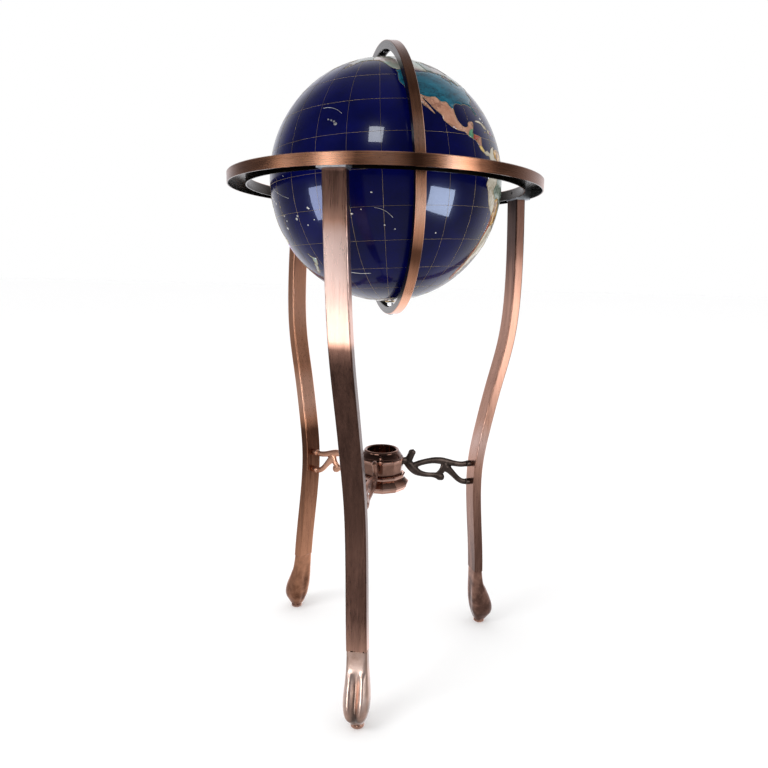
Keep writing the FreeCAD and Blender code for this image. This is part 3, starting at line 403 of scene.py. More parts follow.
COASTS = {
    "americas": (
        (-168, 65.6), (-162, 66.6), (-166, 68.3), (-156.5, 71.3), (-148, 70.4), (-141, 69.6),
        (-134, 69.5), (-127, 70.2), (-122, 69.8), (-115, 68.2), (-108, 68), (-101, 67.8),
        (-94, 71.8), (-90, 69.3), (-85, 69.6), (-81.5, 68.5), (-82, 66.5), (-86.5, 66.3),
        (-87, 64.3), (-93, 62), (-94.7, 59.5), (-92.5, 57), (-88, 56.5), (-82.5, 55.2), (-82, 53),
        (-80, 51.3), (-78.8, 52.3), (-79.5, 54.8), (-76.6, 57.2), (-78.5, 59), (-77.5, 62.4),
        (-73.5, 62.4), (-69.5, 61), (-69.5, 58.8), (-66, 58.8), (-64.5, 60.3), (-61.5, 57.5),
        (-59.5, 55.2), (-55.8, 53), (-55.8, 51.7), (-60, 50.2), (-66.5, 50.1), (-71, 46.9),
        (-64.5, 48.8), (-65, 47), (-61, 45.5), (-66, 43.6), (-67, 44.8), (-70.2, 43.5),
        (-70.6, 41.8), (-74, 40.5), (-75.8, 37.5), (-75.8, 35.3), (-79, 33.3), (-81.3, 31),
        (-80.1, 26.8), (-81.2, 25.3), (-82.7, 27.8), (-84, 30), (-89.5, 30), (-90, 29.2),
        (-94, 29.6), (-97.3, 27.5), (-97.8, 22.5), (-95.5, 18.8), (-92, 18.6), (-90.4, 21),
        (-87, 21.5), (-88, 18.2), (-88.7, 15.9), (-83.3, 15), (-83.7, 11), (-81.5, 8.9),
        (-79.5, 9.5), (-77.4, 8.6), (-75.5, 10.7), (-72, 12.1), (-71.2, 10.9), (-68, 11.5),
        (-62, 10.6), (-60, 8.5), (-54, 5.8), (-50.5, 1.2), (-48.5, -1), (-44, -2.6), (-39, -3.2),
        (-35.3, -5.5), (-35, -8.5), (-38.8, -13), (-39.3, -17.8), (-41, -22), (-44.5, -23.1),
        (-48.5, -26.2), (-48.8, -28.5), (-53, -33.3), (-57.5, -34.8), (-57, -36.5), (-58, -38.3),
        (-62.2, -39), (-62.3, -40.8), (-65, -41), (-64, -42.8), (-67.5, -46.2), (-65.8, -47.8),
        (-69, -50.8), (-68.4, -52.4), (-65.3, -54.7), (-70, -55.2), (-74.5, -52), (-75.3, -48),
        (-73.5, -43), (-73.5, -38), (-71.5, -31), (-70.3, -22), (-70.3, -18.2), (-76.2, -13.8),
        (-79.5, -7.5), (-81.3, -4.8), (-80, -2.8), (-80.8, -0.8), (-78.8, 1.5), (-77.2, 4),
        (-77.9, 7.2), (-80.5, 7.3), (-83, 8.3), (-85.7, 10), (-87.6, 13), (-92.2, 14.5),
        (-94.5, 16.2), (-99.5, 16.7), (-105.5, 20.3), (-106, 22.8), (-109.5, 25.8), (-112.5, 29.5),
        (-114.7, 31.6), (-112.8, 28.5), (-110.5, 25), (-109.5, 23), (-112.3, 25.5), (-115, 28),
        (-116.6, 31.5), (-117.3, 33), (-120.6, 34.6), (-122.5, 37.6), (-124.4, 40.4), (-124, 46.2),
        (-124.6, 48.3), (-122.8, 49), (-127.5, 51), (-130.2, 54.5), (-134, 58), (-139.5, 59.8),
        (-146, 60.8), (-151.5, 59.4), (-150.5, 61.3), (-153.5, 59), (-158.5, 56), (-164.5, 54.5),
        (-160, 58.6), (-162, 58.8), (-166, 61.8), (-161, 64.5), (-166.5, 64.4)),
    "greenland": (
        (-73, 78.2), (-66, 80.8), (-45, 82.8), (-22, 82.3), (-17, 79.5), (-20, 75), (-22, 71),
        (-32, 68.2), (-40, 65.2), (-43, 60), (-48.5, 61), (-53, 66.5), (-54.5, 70.5), (-60, 75.8),
        (-68.5, 76.2)),
    "baffin": (
        (-90, 72.8), (-80, 73.7), (-71.5, 71.2), (-62, 66.5), (-65.5, 62.3), (-72.5, 64.8),
        (-73, 68.2), (-84, 70)),
    "ellesmere": ((-90, 76.8), (-80, 76.3), (-76, 79), (-62, 82.5), (-78, 83), (-91, 81.5)),
    "victoria": ((-117.5, 70), (-114, 73), (-105, 73), (-102, 69.5), (-110, 68.9)),
    "banks": ((-125, 72), (-122, 74.2), (-117.5, 74), (-119, 71.5)),
    "melville": ((-116, 75), (-113, 76.6), (-100, 76.6), (-96, 75), (-106, 74.8)),
    "newfoundland": ((-59.2, 47.8), (-55.7, 51.5), (-53, 47)),
    "cuba": ((-84.7, 22), (-80, 23.1), (-74.3, 20.2), (-77.5, 19.9), (-79, 21.6)),
    "hispaniola": ((-74.3, 18.5), (-73, 19.9), (-68.5, 18.6), (-71.5, 17.8)),
    "jamaica": ((-78.3, 18.3), (-76.3, 18.2), (-77.2, 17.8)),
    "puerto_rico": ((-67.1, 18.4), (-65.7, 18.3), (-66.6, 17.9)),
    "iceland": ((-24, 65.5), (-21, 66.3), (-14.7, 66), (-14, 64.6), (-19, 63.4), (-22.6, 64)),
    "britain": (
        (-5.5, 50), (1.3, 51.2), (1.6, 52.8), (-1.5, 55), (-2, 57.6), (-5, 58.6), (-5.5, 56),
        (-3.2, 54.2), (-5, 52)),
    "ireland": ((-10, 51.8), (-6.2, 52.2), (-5.8, 54.6), (-8.3, 55.2), (-10, 53.8)),
    "old_world": (
        (-9.3, 38.7), (-9, 43.2), (-1.7, 43.4), (-1.2, 46), (-4.6, 48.4), (1.5, 50.2), (4, 52),
        (8.2, 53.8), (8.2, 57), (10.5, 57.6), (10.5, 54.5), (14, 54), (19, 54.5), (21.2, 57),
        (24, 58.8), (29.5, 59.9), (22.8, 60), (21.3, 61.5), (25.3, 65.1), (22, 65.7), (17.3, 61.5),
        (18.8, 60), (16.3, 56.5), (12.7, 56), (11.2, 59), (7.5, 58.1), (5.2, 60.5), (10.5, 64.3),
        (15, 68.3), (25.5, 71), (31, 70.2), (41, 67), (34.5, 66.5), (38, 64.2), (44, 66),
        (46, 68.2), (54, 68.5), (60.5, 69.5), (68, 68.5), (67, 72.3), (73, 71.8), (73, 68),
        (81, 73.3), (87, 75), (104, 77.6), (113, 74), (127, 73), (131, 71), (140, 72.5), (152, 71),
        (160, 69.7), (170, 70), (180, 68.8), (189.5, 66), (182, 65), (179.5, 62.5), (170.5, 60),
        (163.3, 58), (162, 55), (157, 51.1), (155.8, 56.5), (163, 61.8), (155, 59.3), (142.5, 59.2),
        (135.5, 54.8), (141, 52.5), (140.3, 48.5), (135, 43.5), (130.8, 42.3), (127.6, 39.8),
        (129.4, 36), (126.5, 34.6), (125.2, 38), (121.5, 39), (121.8, 40.8), (118, 39.1),
        (119, 37.5), (122.4, 37.2), (119.2, 35), (121.9, 31.6), (121.5, 28.2), (117, 23.6),
        (113.5, 22.2), (110.3, 20.6), (108, 21.6), (105.8, 19.5), (109.2, 13), (106.8, 10.4),
        (105, 8.8), (104.8, 10.4), (102.5, 12.2), (100.6, 13.5), (99.4, 10.3), (103.3, 4.5),
        (104, 1.4), (101.2, 3), (100.3, 6.3), (98.4, 8.5), (98.6, 13), (97.5, 16.6), (94.4, 16.2),
        (94.2, 19), (91.8, 22.6), (87, 21.2), (82.3, 16.6), (80.2, 13.5), (79.8, 10.3), (77.6, 8.1),
        (74.8, 13), (72.8, 19), (72.6, 21.3), (70, 21), (67.2, 24.7), (61.5, 25.2), (57.2, 26),
        (51.5, 27.8), (48.8, 30.2), (50.2, 26.5), (51.6, 25.8), (54, 24.1), (56.3, 26.2),
        (59.8, 22.5), (55.2, 17.5), (45, 12.8), (43.2, 13.2), (42.7, 16.5), (39, 21.5), (35, 28),
        (34.9, 29.4), (34.2, 27.8), (32.6, 29.8), (35.5, 24), (37.4, 20.8), (39.5, 15.5),
        (43.2, 11.5), (51.2, 11.9), (47.8, 4.3), (42, -1), (39.2, -5), (40.6, -10.8), (40.3, -16),
        (35, -20), (35.5, -24), (32.6, -26.5), (30.5, -31), (25.8, -33.9), (20, -34.8),
        (18.3, -33.5), (15, -26.5), (12, -17.5), (13.6, -12.5), (12.2, -5.8), (9, -0.8), (9.6, 3.8),
        (6, 4.3), (3.5, 6.4), (-2, 4.8), (-7.6, 4.4), (-13.2, 9), (-17.3, 14.7), (-16.3, 19),
        (-17, 21.5), (-13, 27.8), (-9.7, 30.5), (-6, 35.6), (-2, 35.2), (10, 37.3), (11, 34),
        (15.5, 32), (20, 30.8), (20.5, 32.8), (29, 30.9), (32.3, 31.2), (34.9, 32.5), (36, 36.7),
        (30.5, 36.5), (27, 37), (26.4, 40), (26, 40.8), (23, 40.4), (24, 38), (22.5, 36.6),
        (19.5, 41), (14, 45), (12.3, 45.3), (14, 42.4), (18.4, 40), (15.8, 38), (12.3, 41.8),
        (8.8, 44.3), (3.1, 43), (0, 40), (-0.6, 38), (-5.4, 36.2), (-8.9, 37)),
    "black_sea": (
        (28, 42), (28.8, 44.5), (31, 46.4), (35, 45.2), (38.5, 47), (38, 45), (41.6, 42), (38, 41),
        (35, 42), (31.5, 41.2)),
    "caspian": (
        (47.5, 45.3), (51, 47), (53, 45), (51, 43.5), (53.2, 40.5), (53.8, 37), (50, 37.5),
        (49.4, 40.5)),
    "great_lakes": (
        (-92, 46.8), (-88, 48.5), (-84.7, 46.7), (-80.5, 45.6), (-82.3, 43.2), (-84, 45.7),
        (-86.5, 45), (-87.6, 41.8), (-88, 44.5)),
    "sumatra": ((95.3, 5.6), (98.5, 3.8), (104, -1), (106, -5.6), (102, -4), (98.8, 1.5)),
    "java": ((105.3, -6.7), (110.5, -6.5), (114.5, -7.8), (114.3, -8.6), (108, -7.8)),
    "borneo": ((109, 1.5), (113, 3.2), (117, 7), (119, 5), (117.5, 1), (116, -4), (110.5, -3)),
    "sulawesi": (
        (119.5, 0), (124.9, 1.5), (121, 0.3), (123, -4.5), (121, -3), (120.3, -5.4), (119, -3.2)),
    "new_guinea": (
        (131, -0.8), (134.5, -3.2), (138, -1.6), (144.5, -3.9), (147.8, -6.2), (150.6, -10.4),
        (146.5, -8.8), (143, -9.2), (138.2, -8.3), (133, -4)),
    "luzon": ((120.3, 16.2), (121, 18.5), (122.2, 18.4), (121.6, 15.5), (124, 12.8), (120.7, 13.8)),
    "mindanao": ((122, 7), (123.5, 8.7), (126.3, 8.8), (125.5, 5.8)),
    "taiwan": ((120.1, 23), (121.7, 25.2), (120.9, 22.1)),
    "hainan": ((108.7, 19.2), (110.9, 20), (109.6, 18.2)),
    "ceylon": ((79.8, 7.5), (80.2, 9.7), (81.8, 7.2), (80.5, 6)),
    "honshu": (
        (130.9, 34), (133, 35.5), (137, 37), (140, 40.9), (141.8, 39.5), (140.8, 35.8),
        (135.8, 33.6), (131.5, 31.5)),
    "hokkaido": ((140, 42), (141.8, 45.4), (145.2, 43.4), (143, 42)),
    "sakhalin": ((142, 46.3), (142, 50), (142.6, 54.2), (143.6, 50.5), (143, 46.8)),
    "madagascar": ((43.4, -22.5), (44.3, -16.5), (49.3, -12.1), (50.3, -15.8), (47.2, -25)),
    "novaya_zemlya": ((51.8, 71.5), (56, 74.5), (67.5, 76.8), (57.5, 71.2)),
    "svalbard": ((11, 79), (17, 80.2), (27, 80), (17, 76.7)),
    "new_siberia": ((137.5, 75.5), (144, 76), (150.5, 75.1), (142, 73.5)),
    "australia": (
        (113.5, -22.5), (116.5, -20.7), (122, -18), (126.7, -14.1), (130.8, -12.3), (136.5, -12.1),
        (135.8, -15), (139.5, -17.5), (141.6, -13), (142.6, -10.8), (145.3, -15), (146.5, -19),
        (152.8, -25), (153.5, -28.8), (150, -37.4), (146.3, -39), (140.5, -38), (138, -34.8),
        (136, -34.9), (131.2, -31.5), (124, -33.1), (118, -35), (115.2, -34.2), (115.7, -31.5),
        (113.3, -26)),
    "tasmania": ((144.8, -40.8), (148.3, -41), (146.8, -43.6)),
    "new_zealand_north": (
        (172.7, -34.5), (175.6, -36.8), (178.5, -37.7), (176.8, -40.2), (174.9, -41.4),
        (173.9, -39.3), (174.8, -37.5)),
    "new_zealand_south": (
        (172.7, -40.6), (174.2, -41.8), (171, -45.2), (168.5, -46.6), (166.6, -45.8), (170.5, -43)),
    "antarctica": (
        (SEAM_WEST, -78), (-158, -77.5), (-148, -76), (-130, -74.2), (-102, -72.5), (-80, -73),
        (-68, -68.5), (-57.5, -63.3), (-61, -68.5), (-62, -74.5), (-77, -78), (-60, -80.5),
        (-36, -78.5), (-25, -75.5), (-12, -71.5), (10, -70), (33, -68.8), (52, -66), (70, -69.5),
        (82, -66.8), (105, -66), (130, -66.2), (146, -67.5), (165, -71), (165, -77.5),
        (SEAM_EAST, -78), (SEAM_EAST, -MAP_TOP), (SEAM_WEST, -MAP_TOP)),
}
SQUARE_LOOPS = ("antarctica",)    # coasts that keep their corners, along the map's edge

# Borders as open lines, each a little longer than the land it crosses.
BORDERS = (
    ((-123.8, 48.9), (-95, 49.2), (-89, 48.2)),
    ((-82.4, 43.5), (-79, 43.2), (-75, 45), (-71, 45.2), (-66.4, 44.6)),
    ((-141, 70.6), (-141, 60.3), (-135, 59.5), (-130.6, 54.0)),
    ((-118.2, 32.4), (-114.8, 32.6), (-111, 31.3), (-106.5, 31.7), (-104, 29.4), (-101, 29.7),
     (-99.3, 27), (-96.4, 25.9)),
    ((-92.8, 13.6), (-91, 17.2), (-87.4, 18.3)),
    ((-89.8, 12.6), (-89, 15), (-88, 16.6)),
    ((-88.2, 12.4), (-86, 14), (-82.6, 15.3)),
    ((-86.6, 10.9), (-83, 10.9)),
    ((-83, 7.4), (-82, 10.2)),
    ((-78.6, 6.8), (-77.1, 9.4)),
    ((-71.0, 12.9), (-72.5, 9), (-70, 6.8), (-67.5, 6.2), (-67, 1.2), (-64, 3), (-61, 5),
     (-59.6, 9.4)),
    ((-67, 1.2), (-69.8, 1), (-70, -4.2), (-75.2, 0), (-79.6, 1.9)),
    ((-75.2, 0), (-78.4, -3.2), (-81.6, -3.7)),
    ((-70, -4.2), (-73.8, -7.5), (-69.6, -11), (-69.2, -17), (-71.2, -18.6)),
    ((-69.6, -11), (-65, -10), (-60, -14), (-58, -20), (-62.5, -22.2), (-67, -23), (-69.2, -17)),
    ((-58, -20), (-54.5, -24.5), (-54.6, -27), (-57.6, -30.2), (-52.4, -33.8)),
    ((-62.5, -22.2), (-57.8, -25.5), (-54.6, -27)),
    ((-57.6, -30.2), (-57.8, -33.5), (-55.8, -35.6)),
    ((-67, -23), (-70, -30), (-71.5, -40), (-72, -50), (-68.5, -52.6), (-68.5, -55.8)),
    ((-61, 5), (-58, 1.8), (-52, 2.2), (-50, 4.6)),
    ((-7.4, 36.4), (-7, 41.8), (-9.6, 42.1)),
    ((-2.2, 43.9), (3.8, 42.4)),
    ((2.2, 51.6), (5.8, 49.5), (8.2, 49), (7, 46), (7.5, 43.2)),
    ((14.3, 54.8), (14.8, 51), (12.3, 50.2), (13.8, 48.7), (10, 47.5), (7, 46), (10.5, 46.8),
     (13.7, 46.5), (13.4, 44.8)),
    ((14.8, 51), (18.8, 49.5), (22.8, 49.1), (23.6, 51.5), (23.5, 54), (19.2, 55)),
    ((13.7, 46.5), (16.5, 46.5), (21, 46.2), (22.5, 44.4), (29.2, 43.7)),
    ((23.6, 51.5), (30.5, 51.5), (34, 52), (40, 49.5), (38.2, 46.6)),
    ((22.8, 49.1), (24.9, 47.7), (28.2, 45.6), (30.2, 45.2)),
    ((22.5, 44.4), (23, 41.3), (26.4, 41.4)),
    ((23, 41.3), (19, 40)),
    ((26.2, 40.5), (29, 41.3), (28.5, 42.3)),
    ((10.9, 58.6), (12.3, 61.5), (14, 65), (20.3, 69), (24, 65.8), (23.6, 65.2)),
    ((20.3, 69), (28.5, 69), (31.5, 70.6)),
    ((28.5, 69), (30, 65), (31, 62.6), (27.4, 59.75)),
    ((23.5, 54), (28, 56), (27.5, 60)),
    ((41.2, 41.8), (44.5, 39.7), (44.8, 37.2), (42.3, 37.2), (35.6, 36.4)),
    ((44.5, 39.7), (48.8, 38.3), (50, 38)),
    ((38.8, 43.6), (46, 42.3), (49.4, 42.4)),
    ((44.8, 37.2), (45.8, 34), (48, 30.3), (49.2, 29.7)),
    ((49.9, 28.9), (46.5, 29.1), (39, 32), (36, 29.3), (34.4, 29.2)),
    ((33.6, 31.6), (34.9, 29.2)),
    ((42.3, 16.4), (48, 18.2), (55.2, 20), (55.2, 22.7), (53.4, 25.4)),
    ((39, 32), (42.3, 34.5), (42.3, 37.2)),
    ((48.4, 46), (47, 48.5), (51.5, 51.2), (61, 51), (61.5, 54), (71, 54.2), (80, 51),
     (87.3, 49.2)),
    ((51.4, 41.9), (56, 41.3), (56, 45), (61, 44.3), (66.5, 42), (70.5, 42.2), (80.2, 42.1),
     (82.5, 45.5), (87.3, 49.2), (98, 50.3), (98.9, 52), (108, 49.4), (116.6, 49.8), (120, 53.3),
     (127.5, 49.8), (131, 47.8), (134.7, 48.3), (131, 45), (131.2, 41.9)),
    ((87.3, 49.2), (91, 45.3), (97, 42.7), (105, 41.7), (112, 43.6), (119.8, 46.7), (116.6, 49.8)),
    ((131.6, 42.9), (128, 41.5), (123.8, 39.5)),
    ((53.4, 37.4), (56.5, 38.2), (61.2, 36.6), (67, 37.3), (71, 38.4), (74.8, 37.3), (73.8, 39.5),
     (80.2, 42.1)),
    ((61.2, 36.6), (60.8, 31), (63, 27.3), (61.6, 24.6)),
    ((60.9, 29.9), (66.3, 30), (69.5, 33.5), (74.8, 37.3)),
    ((74.8, 37.3), (75, 32.3), (70.5, 28), (71, 24.6), (67.6, 23.4)),
    ((74.8, 37.3), (79, 32.5), (81, 30.2), (88.2, 27.9), (92, 27.8), (97.3, 28.2), (98.8, 24.5),
     (101.3, 21.3), (105, 23.2), (108.6, 21.2)),
    ((97.3, 28.2), (94.5, 25.5), (93, 22), (91.6, 21.2)),
    ((101.3, 21.3), (100.1, 20.4), (97.7, 18.4), (99.2, 12), (98, 11)),
    ((100.1, 20.4), (102, 18), (104.8, 16.5), (106.5, 14.5), (107.5, 12.3), (104.6, 9.8)),
    ((99.8, 6.6), (102.8, 6.2)),
    ((109, 1.9), (114.5, 1.2), (118, 4.3)),
    ((141, -2), (141, -9.6)),
    ((-71.8, 20.3), (-71.8, 17.4)),
    ((-1.8, 35.8), (-1.5, 32), (-8.7, 27.6), (-13.8, 27.6)),
    ((8.6, 37.7), (8, 33), (9.5, 30), (10, 26), (12, 23.5), (15, 23), (24, 19.5), (25, 22),
     (25, 32.4)),
    ((8, 33), (9.5, 30), (11.8, 33.6)),
    ((25, 22), (37.8, 22)),
    ((-8.7, 27.6), (-5, 25), (3, 19.5), (12, 23.5)),
    ((-8.7, 27.6), (-6, 21), (-12, 15), (-17.2, 16)),
    ((-12, 15), (-11.5, 12.2), (-8, 10.3), (-3, 9.8), (3.5, 11.8), (13.5, 13.5), (15.5, 20),
     (15, 23)),
    ((3, 19.5), (4, 15), (3.5, 11.8), (2.7, 5.6)),
    ((-8, 10.3), (-7.3, 3.8)),
    ((-3, 9.8), (-2.8, 4.2)),
    ((13.5, 13.5), (14, 11), (9.5, 6.5), (8.4, 4.0)),
    ((14, 11), (19, 9), (23, 10), (22.5, 13), (24, 19.5)),
    ((23, 10), (27.3, 5), (18.6, 4.2), (13, 2.2), (9.0, 2.2)),
    ((39.2, 18.2), (36.2, 14), (34, 8), (35.8, 4.8), (30.8, 3.6), (27.3, 5)),
    ((43.4, 12.2), (43.5, 9), (47.8, 8), (42, 4.2), (35.8, 4.8)),
    ((42, 4.2), (41.2, -2.4)),
    ((30.8, 3.6), (29.4, -4.5), (30.8, -8.3), (28.5, -12.5), (22, -11), (20, -7), (11.4, -5.9)),
    ((29.8, -1.2), (34, -1), (39.9, -5)),
    ((30.8, -8.3), (34.8, -11.5), (41.2, -10.7)),
    ((18.6, 4.2), (16, -2), (12.4, -5.9)),
    ((22, -11), (22, -17.8), (11.0, -17.3)),
    ((22, -17.8), (28, -16.5), (30.3, -15.6), (33.2, -14), (32.9, -9.6)),
    ((30.3, -15.6), (32.9, -18.5), (31.3, -22.3), (32.2, -26.9), (33.4, -26.9)),
    ((22, -17.8), (20.5, -22), (20, -28.5), (14.8, -28.6)),
    ((19.8, -26), (25.5, -25.7), (29.4, -22.2), (31.3, -22.3)),
    ((28, -16.5), (29.4, -22.2)),
    ((129, -12), (129, -32.8)),
    ((138, -15.4), (138, -26)),
    ((141, -29), (154.4, -28.4)),
    ((129, -26), (138, -26), (141, -26), (141, -29), (141, -39)),
    ((40, 69.6), (44, 61), (59, 60), (66, 60), (66, 70)),
    ((59, 60), (58, 51)),
    ((88, 76), (86, 66), (88, 50)),
    ((108, 78), (106, 64), (112, 49)),
    ((134, 74), (133, 62), (124, 53)),
    ((166, 71), (160, 64), (156, 60.6)),
    ((-102, 49), (-102, 60), (-102, 68.6)),
    ((-120, 48.6), (-120, 60), (-141, 60.3)),
    ((-120, 60), (-94, 60)),
    ((-79.6, 51.5), (-79.5, 46.5), (-76, 45)),
    ((-68, 60), (-66, 54), (-57, 51.4)),
)

# Which stone fills the region round each point.
STONES_AT = {
    "turquoise": ((-100, 40), (133, -20), (-4, 40), (15, 62), (48, -20), (0.2, 8.2)),
    "salmon": (
        (-102, 24), (79, 22), (24, -4), (-10, 13), (100, 15.5), (-8, 39.5), (9.6, 34),
        (-85.3, 12.6)),
    "mother_of_pearl": (
        (-110, 55), (-95, 64), (-125, 64), (-45, 72), (-70, 68), (-76, 81), (-110, 71), (-122, 73),
        (-106, 75.8), (0, -80), (170.7, -43.8), (176, -38.5), (-18, 65), (-130, 57)),
    "smoky_shell": ((-150, 65), (-87, 52), (-60, 54), (-56, 49), (-66, 46.8), (-135.6, 59)),
    "cream": (
        (-73, 4), (-75, -9), (-78.3, -1.2), (-67, -35), (2, 28), (67, 48), (30, -30), (145, -23),
        (101.5, 0), (45, 24), (-81, 8.2), (16, 78.5), (-79, 22), (-72.9, 18.9)),
    "tiger_eye": ((-65, 8), (18, 27), (104, 33), (123, -25), (-62, -17), (28, 49), (43.5, 34)),
    "jade": (
        (8, 9), (-90, 15.5), (96, 20), (10, 51), (38, 9), (23, -22), (140, 37), (143, -5),
        (24.3, 41.2)),
    "red_jasper": (
        (30, 15), (54, 33), (2, 47), (35, -7), (75, 41), (-71, -30), (-87, 15.0), (106, 17),
        (113.5, 0), (127, 40.4), (134, -30), (38, 34)),
    "grey_green": (
        (-55, -8), (50, 65), (75, 65), (120, 65), (145, 66), (175, 66), (50, 55), (143, 51),
        (60, 75), (144, 75), (143, 43.5)),
    "marble": (
        (103, 46.5), (12, 42.5), (-56, 3.5), (18, 15), (36, 39), (26, 46), (18, -12.5), (-8, 53),
        (-2, 53), (80.7, 7.6), (109.8, 19.2)),
    "amethyst": (
        (6, 61), (31, 27), (66, 34), (39.5, 0.8), (-71, 18.9), (147, -32), (-5, 6.5), (121, -1.8),
        (110.5, -7.3), (121, 23.8)),
    "calcite": (
        (-84, 10.3), (5, 14), (12, 5), (65, 29), (138, -4.5), (-56, -33), (46.5, 6.7), (121.2, 17),
        (52, 19), (29, -19), (-6, 31.5), (147, -42), (25, 58), (19.5, 52)),
    "onyx": (
        (-59, -23.5), (-8, 24), (16.5, -22), (102.5, 4), (35, -14), (26, 64), (22, 43), (27, -14),
        (-77.3, 18.1), (-66.4, 18.2), (45, 41), (124.5, 7.5)),
}


def blend(before, start, end, after, t):
    """The Catmull-Rom point at t between start and end, for numbers or vectors."""
    return 0.5 * (2 * start + (end - before) * t
                  + (2 * before - 5 * start + 4 * end - after) * t * t
                  + (3 * start - before - 3 * end + after) * t ** 3)


RAGGED_EVERY, RAGGED_BY = 0.7, 0.28      # noise cells per degree, and degrees
RAGGED_SEED = 7                   # without a seed, noise_vector changes with the clock
LINE_STEPS = 3                    # pieces of line between two points of a table


def smooth_line(points, closed):
    """A smooth line through points of the map, with a little natural raggedness between them."""
    count = len(points)
    result = []
    for index in range(count if closed else count - 1):
        around = []
        for offset in (-1, 0, 1, 2):
            place = index + offset
            place = place % count if closed else min(max(place, 0), count - 1)
            around.append(Vector(points[place]))
        for step in range(LINE_STEPS):
            point = blend(*around, step / LINE_STEPS)
            if step:
                cell = Vector((point.x, point.y, 0)) * RAGGED_EVERY
                point = point + (noise.noise_vector(cell) * RAGGED_BY).to_2d()
            result.append(point)
    if not closed:
        result.append(Vector(points[-1]))
    return result


def map_lines():
    """Every coast and border as a list of points, with whether it is closed."""
    noise.seed_set(RAGGED_SEED)
    coasts = [([Vector(point) for point in points] if name in SQUARE_LOOPS
               else smooth_line(points, True), True) for name, points in COASTS.items()]
    return coasts + [(smooth_line(points, False), False) for points in BORDERS]


def on_land(longitude, latitude, loops):
    """Even-odd test against the coasts, so seas inside land count as sea."""
    inside = False
    for loop in loops:
        previous = loop[-1]
        for point in loop:
            if (point.y > latitude) != (previous.y > latitude):
                crossing = previous.x + (latitude - previous.y) * (point.x - previous.x) / (
                    point.y - previous.y)
                if longitude < crossing:
                    inside = not inside
            previous = point
    return inside


def on_globe(longitude, latitude, lift=0.0):
    """The place on the globe's skin at this longitude and latitude."""
    turn, rise = math.radians(longitude + FIRST_MERIDIAN), math.radians(latitude)
    local = Vector((math.cos(rise) * math.cos(turn), math.cos(rise) * math.sin(turn),
                    math.sin(rise)))
    return GLOBE_CENTRE + POLE_AXES @ local * (GLOBE_RADIUS + lift)


class Chart:
    """The flat map cut into triangles along every coast and border."""

    SPACING = 2.0        # degrees between the points that keep the triangles small
    STAGGER = 0.37       # shift of every second row, so that no four points share a circle

    def __init__(self, lines):
        points, edges = [], []
        for line, closed in lines:
            first = len(points)
            points.extend(line)
            edges.extend((first + step, first + step + 1) for step in range(len(line) - 1))
            if closed:
                edges.append((len(points) - 1, first))
        rows = int(2 * MAP_TOP / self.SPACING)
        columns = int((SEAM_EAST - SEAM_WEST) / self.SPACING)
        for row in range(rows + 1):
            for column in range(columns + 1):
                shift = self.STAGGER * (row % 2) if 0 < column < columns else 0.0
                points.append(Vector((SEAM_WEST + column * self.SPACING + shift,
                                      (2 * row / rows - 1) * MAP_TOP)))
        made = delaunay_2d_cdt(points, edges, [], 0, 1e-4, True)
        self.points, all_edges, self.faces, _, sources, _ = made
        self.fences = {tuple(sorted(edge)) for edge, source in zip(all_edges, sources) if source}
        self.beside = {}
        for index, face in enumerate(self.faces):
            for pair in self.sides(face):
                self.beside.setdefault(pair, []).append(index)

    def sides(self, face):
        """The edges of a triangle, each with its lower point number first."""
        return [tuple(sorted(pair)) for pair in zip(face, face[1:] + face[:1])]

    def face_at(self, place):
        """The triangle that a place lies in."""
        x, y = place
        for index, face in enumerate(self.faces):
            corners = [self.points[corner] for corner in face]
            turns = [(end.x - start.x) * (y - start.y) - (end.y - start.y) * (x - start.x)
                     for start, end in zip(corners, corners[1:] + corners[:1])]
            if all(turn >= 0 for turn in turns) or all(turn <= 0 for turn in turns):
                return index
        raise ValueError("no triangle at %s" % (place,))

    def region(self, place):
        """The triangles that can be reached from a place without crossing a line."""
        start = self.face_at(place)
        found, front = {start}, [start]
        while front:
            for pair in self.sides(self.faces[front.pop()]):
                if pair in self.fences:
                    continue
                for other in self.beside[pair]:
                    if other not in found:
                        found.add(other)
                        front.append(other)
        return found


# ---------------------------------------------------------------- mesh helpers
def new_object(name, mesh, material, body):
    """A smooth-shaded piece that rides on a body."""
    piece = bpy.data.objects.new(name, mesh)
    bpy.context.scene.collection.objects.link(piece)
    mesh.materials.clear()
    mesh.materials.append(material)
    mesh.shade_smooth()
    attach(piece, body)
    return piece


def mesh_from(name, points, faces):
    """A mesh of these points and faces."""
    mesh = bpy.data.meshes.new(name)
    mesh.from_pydata(points, [], faces)
    mesh.update()
    return mesh


def round_angles(sides):
    """The angles of a full turn in equal steps."""
    return [math.tau * step / sides for step in range(sides)]


def ring_faces(first, rings, sides, closed=False):
    """The faces between rings of points that start at number first.

    closed joins the last ring to the first.
    """
    faces = []
    for ring in range(rings if closed else rings - 1):
        here, there = first + ring * sides, first + (ring + 1) % rings * sides
        for step in range(sides):
            after = (step + 1) % sides
            faces.append((here + step, here + after, there + after, there + step))
    return faces


def end_faces(first, rings, sides):
    """One face over the first ring and one over the last."""
    last = first + (rings - 1) * sides
    return [tuple(range(first + sides - 1, first - 1, -1)), tuple(range(last, last + sides))]


